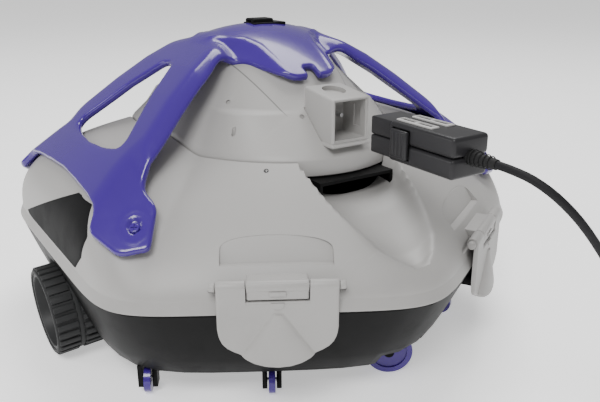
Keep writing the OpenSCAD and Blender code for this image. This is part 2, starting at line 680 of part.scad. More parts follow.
// ---- shell screws ------------------------------------------------------------
deck_screw_r = 1.6;
SCREWS = [[-28, 6], [-46, 6], [-60, 5]];
function screw_at(s) = let (r = ellipse(s[0], dome_rx, dome_ry) + lip_w + s[1])
    [r * cos(s[0]), r * sin(s[0]), seam_z - s[1] * 0.62];
module at_deck_screws() {
    four_corners() for (s = SCREWS) translate(screw_at(s))
        along(unit([cos(s[0]), sin(s[0]), 1.6])) children();
}
module shell_screws() color(steel) at_deck_screws() translate([0, 0, -5]) rod(deck_screw_r, 5.6);

// ---- charging connector ------------------------------------------------------
plug_away = 38;            // how far the connector stands off the socket
plug_x = socket_x + plug_away;
plug_w = socket_w - 2 * socket_wall - 2 * plug_play;
plug_h = socket_h - 2 * socket_wall - 2 * plug_play;
body_w2 = plug_w + 4;
tip_l = 22;
clip_l = 20;
clip_h = 17;
clip_t = 4;
clip_in = 3;
module plug_shape(low, high) {
    intersection() {
        union() {
            slab([plug_x, -plug_w / 2, -FAR], [plug_x + tip_l, plug_w / 2, FAR]);
            slab([plug_x + tip_l - 1, -body_w2 / 2, -FAR], [plug_x + plug_l, body_w2 / 2, FAR]);
        }
        slab([0, -FAR, low], [FAR * 2, FAR, high]);
    }
}
module clip_slots() {
    for (s = [-1, 1]) translate([plug_x + tip_l, s * body_w2 / 2, socket_z])
        slab([-gap, -clip_in - 2, -clip_h / 2 - gap], [clip_l + gap, clip_in + 2, clip_h / 2 + gap]);
}
module connector_half(low, high) color(dark_grey) difference() {
    plug_shape(low, high);
    clip_slots();
    for (s = [-1, 1]) translate([plug_x - 1, s * 5, socket_z]) rotate([0, 90, 0]) rod(2.4, 14);
    translate([plug_x + plug_l - 12, 0, socket_z]) rotate([0, 90, 0]) rod(cord_d / 2 + 2.2, 20);
}
module connector_lower() connector_half(socket_z - plug_h / 2, socket_z);
module connector_upper() connector_half(socket_z + 0.1, socket_z + plug_h / 2);
module connector_contacts() color(black) for (y = [-6.5, 6.5])
    slab([plug_x + tip_l, y - 3, socket_z + plug_h / 2],
         [plug_x + tip_l + 32, y + 3, socket_z + plug_h / 2 + 1.4]);
module squeeze_clip(s) color(black) translate([plug_x + tip_l, s * (body_w2 / 2 + 1), socket_z])
    slab([0, -clip_t / 2, -clip_h / 2], [clip_l, clip_t / 2, clip_h / 2]);
relief_l = 20;
relief_x = plug_x + plug_l - 11;
module strain_relief() color(black) translate([relief_x, 0, socket_z]) rotate([0, 90, 0])
    difference() {
        union() {
            rod(cord_d / 2 + 2.1, 11);
            translate([0, 0, 11]) cylinder(r1 = cord_d / 2 + 2, r2 = cord_d / 2 + 0.6,
                h = relief_l, $fn = ROUND);
        }
    }

// ---- charging cord -----------------------------------------------------------
// Route from the strain relief to the coil; the first point is the end of the relief
cord_r = cord_d / 2;
ROUTE = [[268, 0, 190.5], [279, 0, 190], [291, 3, 187], [302, 10, 179], [310, 22, 165],
         [315, 38, 145], [318, 56, 121], [319, 75, 96], [319, 95, 71], [318, 116, 47],
         [316, 138, 26], [314, 160, 11], [312, 182, 4], [311, 204, 2.5], [310, 220, 2.5],
         [310, 235, 2.5]];
TAIL = [[310, 235, 7.5], [310, 246, 7.6], [310, 257, 8.6], [310, 268, 10]];
cord_sides = 8;
function spline(p, i, t) = let (a = p[max(i - 1, 0)], b = p[i], c = p[i + 1],
    d = p[min(i + 2, len(p) - 1)])
    0.5 * (2 * b + (c - a) * t + (2 * a - 5 * b + 4 * c - d) * t * t
        + (3 * b - a - 3 * c + d) * t * t * t);
function route_line(p) = concat([for (i = [0:len(p) - 2]) for (t = [0, 0.5]) spline(p, i, t)],
    [p[len(p) - 1]]);
function tube_ring(c, i) = let (d = unit(c[min(i + 1, len(c) - 1)] - c[max(i - 1, 0)]),
    side = unit(cross(d, [0, 0, 1])), up = cross(d, side))
    [for (k = [0:cord_sides - 1]) let (t = k * 360 / cord_sides)
        c[i] + cord_r * (side * cos(t) + up * sin(t))];
module tube(p) { c = route_line(p); skin([for (i = [0:len(c) - 1]) tube_ring(c, i)]); }
module charging_cord() color(black) tube(ROUTE);
module cord_tail() color(black) tube(TAIL);
coil_at = [275, 235, 0];
coil_r = 30;
coil_columns = 3;
coil_layers = 2;
module cord_coil() color(black) translate(coil_at) rotate_extrude($fn = ROUND)
    translate([coil_r - coil_columns * cord_r, 0])
        square([coil_columns * cord_d, coil_layers * cord_d]);
charger_l = 50;
charger_w = 36;
charger_h = 20;
module at_charger() { translate([310, 276, charger_h / 2]) children(); }
module charger_body() color(black) at_charger() {
    slab([-charger_w / 2, 0, -charger_h / 2], [charger_w / 2, charger_l, charger_h / 2]);
    translate([0, 0.5, 0]) rotate([90, 0, 0]) cylinder(r1 = cord_r + 2.5, r2 = cord_r + 1,
        h = 8.5, $fn = ROUND);
}
module charger_pins() color(steel) at_charger() for (s = [-1, 1])
    translate([s * 9.5, charger_l, 0]) rotate([-90, 0, 0]) rod(2, 18);

base_tub();
body_seal();
filter_basket();
filter_mesh();
inlet_flap();
flap_pin();
wheel_axles();
tyre(-1);  // tyre_right
wheel_hub(-1);  // wheel_hub_right
tyre(1);  // tyre_left
wheel_hub(1);  // wheel_hub_left
guide_fork(0);  // guide_fork_front
guide_wheel(0);  // guide_wheel_front
guide_fork(180);  // guide_fork_rear
guide_wheel(180);  // guide_wheel_rear
edge_roller(0);  // edge_roller_1
edge_roller(1);  // edge_roller_2
edge_roller(2);  // edge_roller_3
edge_roller(3);  // edge_roller_4
edge_roller(4);  // edge_roller_5
edge_roller(5);  // edge_roller_6
roller_pins();
top_shell();
side_cover(0);  // side_cover_right
side_cover(180);  // side_cover_left
dome_housing();
dome_floor();
outlet_duct(0);  // outlet_duct_front
outlet_duct(180);  // outlet_duct_rear
pump_housing();
impeller();
pump_motor();
battery_pack();
control_board();
power_button();
socket_housing();
socket_contacts();
carry_handle();
retrieval_hook();
handle_screws();
shell_screws();
latch(0);  // latch_1
latch(1);  // latch_2
latch(2);  // latch_3
latch(3);  // latch_4
latch_pins();
connector_lower();
connector_upper();
connector_contacts();
squeeze_clip(-1);  // squeeze_clip_right
squeeze_clip(1);  // squeeze_clip_left
strain_relief();
charging_cord();
cord_coil();
cord_tail();
charger_body();
charger_pins();
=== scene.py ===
"""Looks of the cordless pool cleaner: smooth moulded shells, ribbed tyres, handle, latches and lead."""

import math

import bpy
from mathutils import Matrix, Vector


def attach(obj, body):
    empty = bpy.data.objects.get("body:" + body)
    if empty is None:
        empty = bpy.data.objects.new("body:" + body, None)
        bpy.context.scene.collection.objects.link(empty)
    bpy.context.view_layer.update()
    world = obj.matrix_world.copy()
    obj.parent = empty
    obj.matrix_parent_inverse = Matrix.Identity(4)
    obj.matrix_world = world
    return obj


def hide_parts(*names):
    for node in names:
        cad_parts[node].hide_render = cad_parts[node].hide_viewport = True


bl_info = {
    "name": "Pool Cleaner Looks",
    "version": (1, 0, 0),
    "blender": (4, 5, 0),
    "location": "View3D > Sidebar > Pool Cleaner",
    "description": "Builds the finished pieces of a pool cleaning robot round its CAD frame",
    "category": "Object",
}

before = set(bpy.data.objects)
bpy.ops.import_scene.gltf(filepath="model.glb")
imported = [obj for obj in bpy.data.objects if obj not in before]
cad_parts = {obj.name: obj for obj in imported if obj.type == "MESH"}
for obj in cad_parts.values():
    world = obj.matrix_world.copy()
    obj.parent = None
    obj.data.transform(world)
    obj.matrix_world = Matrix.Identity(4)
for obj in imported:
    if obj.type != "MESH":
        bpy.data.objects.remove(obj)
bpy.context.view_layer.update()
MM = 0.001

# ---- sizes shared by the pieces, in millimetres ------------------------------
WAIST = 85.0
FACE_D = 204.0
SIDE_D = 190.0
SEAM = 163.0
DOME_RX, DOME_RY, DOME_TOP = 132.0, 105.0, 228.0
DOME_FOOT = 166.0
HINGE_D, HINGE_Z = 204.5, 105.0
LATCH_HALF, GAP_HALF = 39, 20.5
WHEEL_R, WHEEL_OUT, CAMBER = 36, 199.4, 4
PLUG_Z = 190.5
PIN_BORE = 5.1
LATCHES = ((330, 10), (30, -10), (150, 10), (210, -10))
TROUGH = ((100, 40, 143), (118, 40, 139), (140, 40, 136), (160, 40, 128), (180, 39, 117),
          (195, 34, 109), (206, 24, 105.5), (214, 12, 105.5))
COVER = ((-76, 12), (46, 59), (71, 57), (86, 40), (81, 24), (64, 10), (-60, 9))
SCREWS = ((-28, 6), (-46, 6), (-60, 5))
ROUTE = ((268, 0, 190.5), (279, 0, 190), (291, 3, 187), (302, 10, 179), (310, 22, 165),
         (315, 38, 145), (318, 56, 121), (319, 75, 96), (319, 95, 71), (318, 116, 47),
         (316, 138, 26), (314, 160, 11), (312, 182, 4), (311, 204, 2.5), (310, 220, 2.5),
         (310, 235, 2.5))
TAIL = ((310, 235, 7.5), (310, 246, 7.6), (310, 257, 8.6), (310, 268, 10))


# ---- shape formulas, the same as in the CAD source ---------------------------
def mix(a, b, t):
    return a + (b - a) * t


def ease(t):
    t = min(1.0, max(0.0, t))
    return t * t * (3 - 2 * t)


def hexagon(a, sharp=16):
    total = 0.0
    for face in (30, 90, 150, 210, 270, 330):
        c = math.cos(math.radians(a - face))
        if c > 0:
            total += (c / (SIDE_D if face in (90, 270) else FACE_D)) ** sharp
    return total ** (-1 / sharp)


def ellipse(a, rx, ry):
    c, s = math.cos(math.radians(a)), math.sin(math.radians(a))
    return 1 / math.sqrt((c / rx) ** 2 + (s / ry) ** 2)


def flank(a):
    return ease((abs(math.sin(math.radians(a))) - 0.78) / 0.18)


def deck_top(a):
    return SEAM + 12 * flank(a)


def table_at(rows, x):
    for low, high in zip(rows, rows[1:]):
        if low[0] <= x <= high[0]:
            t = (x - low[0]) / (high[0] - low[0])
            return [mix(p, q, t) for p, q in zip(low, high)]
    return None


def trough_height(x, y):
    row = table_at(TROUGH, abs(x))
    if row is None or abs(y) >= row[1]:
        return 999.0
    power = mix(3.2, 2.0, ease((abs(x) - 138) / 50))
    return row[2] + 34 * (1 - (1 - (abs(y) / row[1]) ** power) ** (1 / power))


def soft_min(a, b, k):
    d = abs(a - b)
    return min(a, b) - ((k - d) ** 2 / (4 * k) if d < k else 0)


def deck_radius(a, u):
    """Distance of the deck from the axis, at a share u of its height."""
    return mix(hexagon(a) - 3, ellipse(a, DOME_RX, DOME_RY) + 2, u ** (1.5 + 2.3 * flank(a)))


def deck_share(a, z):
    """The share of the deck's height at which z stands."""
    return max(0.0, min(1.0, (z - WAIST - 8) / (deck_top(a) - WAIST - 8)))


def deck_point(a, u):
    r = deck_radius(a, u)
    z = mix(WAIST + 8, deck_top(a), u)
    x, y = r * math.cos(math.radians(a)), r * math.sin(math.radians(a))
    return x, y, soft_min(z, trough_height(x, y), 5)


def lobe(a, v):
    b = abs((a + 180) % 360 - 180)
    b = 180 - b if b > 90 else b
    grow = v / 0.42 if v < 0.42 else 1 - ease((v - 0.42) / 0.035)
    return 7 * math.exp(-(((b - 38) / 14) ** 2)) * grow


def dome_radius(a, v):
    k = (DOME_RX - 70) / DOME_RX
    return ellipse(a, DOME_RX, DOME_RY) * mix(1, k, v) - 1.5 * (1 - v) + lobe(a, v)


def polar(r, a, z):
    return (r * math.cos(math.radians(a)), r * math.sin(math.radians(a)), z)


def dome_point(a, z):
    v = (z - DOME_FOOT) / (DOME_TOP - DOME_FOOT)
    return Vector(polar(dome_radius(a, v), a, z))


def spline(points, steps):
    """A smooth line through the points, with that many steps between each two."""
    p = [Vector(q) for q in points]
    line = []
    for i in range(len(p) - 1):
        a, b, c, d = p[max(i - 1, 0)], p[i], p[i + 1], p[min(i + 2, len(p) - 1)]
        for k in range(steps):
            t = k / steps
            line.append(0.5 * (2 * b + (c - a) * t + (2 * a - 5 * b + 4 * c - d) * t * t
                               + (3 * b - a - 3 * c + d) * t ** 3))
    return line + [p[-1]]


# ---- small tools over bpy.ops ------------------------------------------------
def deselect():
    if bpy.context.mode != "OBJECT":
        bpy.ops.object.mode_set(mode="OBJECT")
    bpy.ops.object.select_all(action="DESELECT")


def pick(o):
    deselect()
    o.select_set(True)
    bpy.context.view_layer.objects.active = o
    return o


def named(o, name):
    """Names an object and its mesh alike."""
    o.name = name
    o.data.name = name
    return o


def settle(o, name=None):
    """Puts the object's place into its mesh, so that it sits at the origin."""
    pick(o)
    bpy.ops.object.transform_apply(location=True, rotation=True, scale=True)
    return named(o, name) if name else o


def box(low, high, bevel=0.0, segments=3):
    deselect()
    size = [(b - a) * MM for a, b in zip(low, high)]
    mid = [(a + b) / 2 * MM for a, b in zip(low, high)]
    bpy.ops.mesh.primitive_cube_add(size=1, location=mid, scale=size)
    o = settle(bpy.context.object)
    if bevel:
        modify(o, "BEVEL", width=bevel * MM, segments=segments, limit_method="ANGLE")
    return o


def rod(at, axis, radius, depth, far_radius=None, sides=48, bevel=0.0):
    """A round rod or cone from at, along axis, with depth in millimetres."""
    deselect()
    turn = Vector(axis).to_track_quat("Z", "Y").to_euler()
    mid = (Vector(at) + Vector(axis).normalized() * depth / 2) * MM
    bpy.ops.mesh.primitive_cone_add(
        vertices=sides, radius1=radius * MM, depth=depth * MM, location=mid, rotation=turn,
        radius2=(radius if far_radius is None else far_radius) * MM)
    o = settle(bpy.context.object)
    if bevel:
        modify(o, "BEVEL", width=bevel * MM, segments=3, limit_method="ANGLE",
               angle_limit=math.radians(50))
    return o


def modify(o, kind, **settings):
    pick(o)
    m = o.modifiers.new(kind.lower(), kind)
    for key, value in settings.items():
        setattr(m, key, value)
    bpy.ops.object.modifier_apply(modifier=m.name)
    return o


def cut(o, *tools):
    for tool in tools:
        modify(o, "BOOLEAN", operation="DIFFERENCE", object=tool, solver="EXACT")
        bpy.data.objects.remove(tool)
    return o


def fuse(parts, name):
    """One closed solid from overlapping ones."""
    o = parts[0]
    for other in parts[1:]:
        modify(o, "BOOLEAN", operation="UNION", object=other, solver="EXACT")
        bpy.data.objects.remove(other)
    return named(o, name)


def join(parts, name):
    pick(parts[0])
    for o in parts:
        o.select_set(True)
    bpy.ops.object.join()
    return named(bpy.context.object, name)


def mesh_piece(name, points, faces):
    """An object from points in millimetres and the faces between them."""
    mesh = bpy.data.meshes.new(name)
    mesh.from_pydata([tuple(c * MM for c in p) for p in points], [], faces)
    o = bpy.data.objects.new(name, mesh)
    bpy.context.scene.collection.objects.link(o)
    return o


def from_rings(name, rings, loop=False, caps=False):
    """A mesh of quads through rings of points in millimetres; loop joins the last to the first."""
    n = len(rings[0])
    points = [p for ring in rings for p in ring]
    faces = []
    last = len(rings) if loop else len(rings) - 1
    for k in range(last):
        a, b = k * n, ((k + 1) % len(rings)) * n
        faces += [(a + i, a + (i + 1) % n, b + (i + 1) % n, b + i) for i in range(n)]
    if caps:
        faces += [tuple(range(n))[::-1], tuple((len(rings) - 1) * n + i for i in range(n))]
    return outward(mesh_piece(name, points, faces))


def outward(o):
    pick(o)
    bpy.ops.object.mode_set(mode="EDIT")
    bpy.ops.mesh.select_all(action="SELECT")
    bpy.ops.mesh.normals_make_consistent(inside=False)
    bpy.ops.object.mode_set(mode="OBJECT")
    return o


def round_off(o, angle=35):
    pick(o)
    bpy.ops.object.shade_smooth_by_angle(angle=math.radians(angle))
    return o


def copy_node(node, name, angle=30):
    """A copy of a CAD node with its triangles welded and its curves shaded smooth."""
    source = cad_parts[node]
    o = source.copy()
    o.data = source.data.copy()
    named(o, name)
    for key in list(o.keys()):
        del o[key]
    o.parent = None
    o.matrix_world = Matrix.Identity(4)
    bpy.context.scene.collection.objects.link(o)
    pick(o)
    bpy.ops.object.mode_set(mode="EDIT")
    bpy.ops.mesh.select_all(action="SELECT")
    bpy.ops.mesh.remove_doubles(threshold=0.00002)
    bpy.ops.object.mode_set(mode="OBJECT")
    return round_off(o, angle)


def hand_over(o, body, slot, finish, *nodes):
    """Gives a finished piece its material, its body and the CAD nodes it stands for."""
    o.data.materials.clear()
    o.data.materials.append(finish)
    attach(o, body)
    if nodes:
        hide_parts(*nodes)
    return o


def turned(o, name, matrix):
    """A second copy of a piece, with its own mesh, moved by the matrix."""
    twin = o.copy()
    twin.data = o.data.copy()
    named(twin, name)
    bpy.context.scene.collection.objects.link(twin)
    twin.data.transform(matrix)
    if matrix.determinant() < 0:
        twin.data.flip_normals()
    return twin


def about_z(degrees):
    return Matrix.Rotation(math.radians(degrees), 4, "Z")


def facing(p, out, ahead="Z", up="Y"):
    """Moves a shape to p, in millimetres, and turns its ahead axis along out."""
    return Matrix.Translation(p * MM) @ out.to_track_quat(ahead, up).to_matrix().to_4x4()


# ---- materials ---------------------------------------------------------------
class Wire:
    """A socket that can stand in a sum or product; each sum adds its Math node."""

    def __init__(self, finish, socket):
        self.finish, self.socket = finish, socket

    def _math(self, operation, a, b):
        return self.finish.node("ShaderNodeMath", {"operation": operation}, {0: a, 1: b})

    def __add__(self, other):
        return self._math("ADD", self, other)

    def __radd__(self, other):
        return self._math("ADD", other, self)

    def __sub__(self, other):
        return self._math("SUBTRACT", self, other)

    def __rsub__(self, other):
        return self._math("SUBTRACT", other, self)

    def __mul__(self, other):
        return self._math("MULTIPLY", self, other)

    def __rmul__(self, other):
        return self._math("MULTIPLY", other, self)


class Finish:
    """One procedural material round a Principled shader."""

    def __init__(self, name, **constants):
        self.material = bpy.data.materials.new(name)
        self.material.use_nodes = True
        self.tree = self.material.node_tree
        self.shader = self.tree.nodes["Principled BSDF"]
        for key, value in constants.items():
            self.shader.inputs[key.replace("_", " ")].default_value = value
        self.place = self.node("ShaderNodeTexCoord", {}, {}, "Object")

    def node(self, kind, settings, values, out=0):
        n = self.tree.nodes.new(kind)
        for key, value in settings.items():
            if key == "stops":
                ramp = n.color_ramp
                while len(ramp.elements) < len(value):
                    ramp.elements.new(0.5)
                for element, (position, colour) in zip(ramp.elements, value):
                    element.position, element.color = position, colour
            else:
                setattr(n, key, value)
        for key, value in values.items():
            if isinstance(value, Wire):
                self.tree.links.new(value.socket, n.inputs[key])
            else:
                n.inputs[key].default_value = value
        return Wire(self, n.outputs[out])

    def feed(self, name, wire):
        self.tree.links.new(wire.socket, self.shader.inputs[name])

    def noise(self, scale, detail=3.0, rough=0.55, where=None):
        return self.node("ShaderNodeTexNoise", {}, {
            "Vector": where or self.place, "Scale": scale, "Detail": detail,
            "Roughness": rough}, "Fac")

    def stretched(self, sx, sy, sz):
        return self.node("ShaderNodeMapping", {}, {"Vector": self.place, "Scale": (sx, sy, sz)})

    def between(self, low, high, wire):
        """The wire, spread so that low gives 0 and high gives 1."""
        return self.node("ShaderNodeMapRange", {}, {
            "Value": wire, "From Min": low, "From Max": high, "To Min": 0.0, "To Max": 1.0})

    def tint(self, factor, a, b):
        return self.node("ShaderNodeMix", {"data_type": "RGBA"}, {
            0: factor, 6: a if isinstance(a, Wire) else (*a, 1),
            7: b if isinstance(b, Wire) else (*b, 1)}, 2)

    def bump(self, height, strength, distance):
        self.feed("Normal", self.node("ShaderNodeBump", {}, {
            "Height": height, "Strength": strength, "Distance": distance}, "Normal"))


def scaled(colour, k):
    return tuple(min(1.0, c * k) for c in colour)


def moulded(name, colour, rough=0.42, grain=900.0, depth=0.00006, vary=0.1, coat=0.0,
            shine=0.25):
    """Injection-moulded plastic: slow colour drift, faint rubbed patches and a fine grain."""
    f = Finish(name, Coat_Weight=coat, Coat_Roughness=0.08, Specular_IOR_Level=shine)
    drift = f.noise(9.0, 4.0)
    rubbed = f.between(0.52, 0.72, f.noise(34.0, 6.0, 0.62))
    flow = f.noise(60.0, 2.0, 0.5, f.stretched(1, 1, 0.12))
    base = f.tint(drift, scaled(colour, 1 - vary), scaled(colour, 1 + vary))
    base = f.tint(rubbed * 0.12, base, scaled(colour, 1.35))
    f.feed("Base Color", base)
    f.feed("Roughness", rubbed * 0.07 + flow * 0.05 + (rough - 0.05))
    f.bump(f.noise(grain, 2.0) + flow * 0.25, 0.35, depth)
    return f.material


def satin(name, colour):
    """Light satin plastic with fine scratches and a trace of dried water near the waist."""
    f = Finish(name, Specular_IOR_Level=0.45)
    drift = f.noise(6.0, 4.0)
    scratch = f.between(0.66, 0.7, f.noise(150.0, 3.0, 0.6, f.stretched(1.0, 0.05, 0.3)))
    height = f.node("ShaderNodeSeparateXYZ", {}, {0: f.place}, 2)
    low = f.between(0.125, 0.086, height)
    # patchy darkening that grows towards the waist: none above 125 mm, full below 86 mm
    waist_darkening = f.between(0.45, 0.75, f.noise(26.0, 6.0, 0.6)) * low
    base = f.tint(drift, scaled(colour, 0.94), scaled(colour, 1.05))
    base = f.tint(waist_darkening * 0.35, base, scaled(colour, 0.72))
    base = f.tint(scratch * 0.1, base, scaled(colour, 1.25))
    f.feed("Base Color", base)
    f.feed("Roughness", scratch * 0.08 + drift * 0.08 + 0.4)
    f.bump(f.noise(1100.0, 2.0) + scratch * 0.4, 0.25, 0.00005)
    return f


def rubber(name, colour):
    f = Finish(name, Specular_IOR_Level=0.2)
    dust = f.between(0.45, 0.8, f.noise(45.0, 6.0, 0.65))
    f.feed("Base Color", f.tint(dust * 0.4, colour, scaled(colour, 2.0)))
    f.feed("Roughness", dust * 0.12 + 0.62)
    f.bump(f.noise(700.0, 4.0), 0.5, 0.00012)
    return f.material


def metal(name, colour, rough=0.3):
    f = Finish(name, Metallic=1.0)
    brushed = f.noise(500.0, 3.0, 0.6, f.stretched(1, 1, 0.04))
    f.feed("Base Color", f.tint(brushed, scaled(colour, 0.85), scaled(colour, 1.1)))
    f.feed("Roughness", brushed * 0.15 + (rough - 0.07))
    f.bump(brushed, 0.2, 0.00003)
    return f.material


def woven(name, colour):
    """Filter cloth: two crossed sets of threads, dirty in patches."""
    f = Finish(name, Roughness=0.9)
    x, y = (f.node("ShaderNodeTexWave", {"bands_direction": way},
                   {"Vector": f.place, "Scale": scale}, "Fac")
            for way, scale in (("Z", 220.0), ("DIAGONAL", 150.0)))
    dirt = f.between(0.4, 0.75, f.noise(30.0, 6.0))
    threads = f.tint(x * y, scaled(colour, 0.55), colour)
    f.feed("Base Color", f.tint(dirt * 0.5, threads, scaled(colour, 0.6)))
    f.bump(x + y, 0.6, 0.0002)
    return f.material


def circuit(name, colour):
    f = Finish(name, Roughness=0.35)
    cells = f.node("ShaderNodeTexVoronoi", {"feature": "DISTANCE_TO_EDGE"},
                   {"Vector": f.place, "Scale": 160.0}, "Distance")
    f.feed("Base Color", f.tint(f.between(0.03, 0.06, cells), scaled(colour, 2.6), colour))
    f.bump(cells, 0.3, 0.0001)
    return f.material


# ---- settings ----------------------------------------------------------------
def colour(label, words, default):
    return bpy.props.FloatVectorProperty(
        name=label, description=words, subtype="COLOR", size=3, min=0, max=1, default=default)


def length(label, words, default, low, high):
    return bpy.props.FloatProperty(
        name=label, description=words, default=default, min=low, max=high, unit="LENGTH")


def count(label, words, default, low, high):
    return bpy.props.IntProperty(
        name=label, description=words, default=default, min=low, max=high)


class CleanerColours(bpy.types.PropertyGroup):
    shell: colour("Shell", "Light grey of the shell, dome and latches", (0.33, 0.322, 0.312))
    handle: colour("Handle", "Violet of the handle and the small wheels", (0.04, 0.012, 0.2))
    tub: colour("Tub", "Near black of the tub and outlets", (0.003, 0.003, 0.0031))
    cover: colour("Side covers", "Dark grey of the side covers", (0.01, 0.01, 0.0103))
    tyre: colour("Tyres", "Dark grey of the tyres and hubs", (0.026, 0.0265, 0.027))
    lead: colour("Connector", "Black of the charging connector", (0.018, 0.0175, 0.019))


class CleanerSizes(bpy.types.PropertyGroup):
    fineness: count("Fineness", "Points round the big shells", 360, 120, 480)
    handle_grain: length(
        "Handle fineness", "Size of the grid that evens out the handle", 0.0014, 0.001, 0.003)
    lug_count: count("Tyre lugs", "Lugs round each tyre", 30, 12, 48)
    lug_height: length(
        "Lug height", "How far the lugs stand out of the tyre", 0.0018, 0.0005, 0.004)
    cord: length("Cord", "Diameter of the charging cord", 0.005, 0.004, 0.006)


MATERIALS = {}


def finishes():
    """The materials, made once and shared by the pieces."""
    if MATERIALS:
        return MATERIALS
    c = bpy.context.scene.cleaner_colours
    MATERIALS.update(
        shell=satin("Shell plastic", tuple(c.shell)).material,
        violet=moulded("Violet plastic", tuple(c.handle), 0.24, 500.0, 0.00004, 0.12, 0.35, 0.4),
        tub=moulded("Tub plastic", tuple(c.tub), 0.5, 800.0, 0.0001, 0.15, 0.0, 0.1),
        cover=moulded("Cover plastic", tuple(c.cover), 0.6, 1000.0, 0.00008, 0.08, 0.0, 0.05),
        hub=moulded("Hub plastic", tuple(c.tyre), 0.5, 800.0, 0.0001, 0.1),
        tyre=rubber("Tyre rubber", tuple(c.tyre)),
        seal=rubber("Seal rubber", (0.012, 0.012, 0.012)),
        cord=rubber("Cord jacket", (0.009, 0.009, 0.01)),
        lead=moulded("Connector plastic", tuple(c.lead), 0.38, 900.0, 0.00008, 0.1),
        dark=moulded("Contact black", (0.004, 0.004, 0.004), 0.3),
        frame=moulded("Contact frame", (0.45, 0.44, 0.43), 0.35),
        inner=moulded("Inner plastic", (0.3, 0.3, 0.3), 0.5),
        cloth=woven("Filter cloth", (0.7, 0.7, 0.66)),
        steel=metal("Pin steel", (0.6, 0.6, 0.61)),
        can=metal("Motor can", (0.42, 0.42, 0.43), 0.38),
        wrap=moulded("Cell wrap", (0.02, 0.05, 0.2), 0.3, 300.0, 0.0001, 0.1, 0.3),
        board=circuit("Circuit board", (0.01, 0.1, 0.045)),
    )
    return MATERIALS


# ---- shell -------------------------------------------------------------------
def latch_frame(az, shift):
    """From a latch's own place (out, along, up) to the row frame."""
    return about_z(az) @ Matrix.Translation((0, shift * MM, 0))


def niche_outline(grow):
    """Outline of the finger niche over a latch: flat below, arched above."""
    half, foot, spring, crown = 37.5 + grow, 112.2 - grow, 119.5, 8.5 + grow
    line = [(-half, foot), (half, foot), (half, spring)]
    line += [(half * math.cos(math.pi * k / 24), spring + crown * math.sin(math.pi * k / 24) ** 0.7)
             for k in range(1, 24)]
    return line + [(-half, spring)]


def deck_out(az, shift, y, z):
    """Distance of the deck from the axis, along a latch's own direction."""
    low, high = 100.0, 215.0
    for _ in range(30):
        d = (low + high) / 2
        r, a = math.hypot(d, y + shift), az + math.degrees(math.atan2(y + shift, d))
        inside = r < deck_radius(a, deck_share(a, z))
        low, high = (d, high) if inside else (low, d)
    return low


def niche_cup(az, shift):
    """The niche's own walls, with a back that leans less than the deck."""
    rings = []
    for grow, back in ((1.6, 5.5), (1.6, None), (-0.25, None), (-0.25, 3.5)):
        ring = []
        for y, z in niche_outline(grow):
            if back is None:
                ring.append((deck_out(az, shift, y, z) - (0.7 if grow > 0 else 0.15), y, z))
            else:
                ring.append((188.5 - 0.62 * (z - 112) - back, y, z))
        rings.append(ring)
    o = from_rings("cup", rings, caps=True)
    o.data.transform(latch_frame(az, shift))
    return o


def build_shell():
    n = bpy.context.scene.cleaner_sizes.fineness
    angles = [i * 360 / n for i in range(n)]
    rings = [[polar(hexagon(a), a, WAIST) for a in angles]]
    rings += [[polar(hexagon(a) - inset, a, z) for a in angles]
              for inset, z in ((0, 85.8), (0.2, 86.4), (2.4, 91.6), (2.8, 92.6))]
    levels = [(k / 64) ** 1.15 for k in range(65)]
    rings += [[deck_point(a, u) for a in angles] for u in levels]
    hole = [Vector(p) for p in rings[-1]]
    rings += [[tuple(p + Vector((-p.x, -p.y, 0)).normalized() * inward + Vector((0, 0, -drop)))
               for p in hole] for inward, drop in ((1.2, 0.8), (1.4, 3.4))]
    for u in (0.97, 0.9, 0.8, 0.7, 0.55, 0.4, 0.25, 0.12, 0.0):
        ring = []
        for a in angles:
            x, y, z = deck_point(a, u)
            r = math.hypot(x, y)
            ring.append((x * (r - 3) / r, y * (r - 3) / r, z - 3.2))
        rings.append(ring)
    rings.append([polar(hexagon(a) - 3, a, WAIST) for a in angles])
    shell = from_rings("Deck", rings, loop=True)
    for az, shift in LATCHES:
        m = latch_frame(az, shift)
        low = box((HINGE_D - 7, -44.6, HINGE_Z - 7), (HINGE_D + 30, 44.6, HINGE_Z + 5.4), 1.5)
        arch = niche_outline(0)
        niche = from_rings("niche", [[(d, y, z) for y, z in arch] for d in (150, 240)], caps=True)
        for tool in (low, niche):
            tool.data.transform(m)
        cut(shell, low, niche)
    lugs = []
    for az, shift in LATCHES:
        m = latch_frame(az, shift)
        barrel = rod((HINGE_D, -19.8, HINGE_Z), (0, 1, 0), 4.2, 39.6, bevel=0.5)
        web = box((HINGE_D - 12, -19.8, HINGE_Z - 8.3), (HINGE_D + 3.5, 19.8, HINGE_Z + 3.4), 1.2)
        button = box((HINGE_D + 2.5, -5.5, HINGE_Z - 5.4), (HINGE_D + 4.6, 5.5, HINGE_Z - 2.2), 0.6)
        for o in (barrel, web, button):
            o.data.transform(m)
        lugs += [barrel, web, button, niche_cup(az, shift)]
    shell = join([shell] + lugs, "Deck")
    round_off(shell, 32)
    hand_over(shell, "upper", "shell_grey", finishes()["shell"], "top_shell")


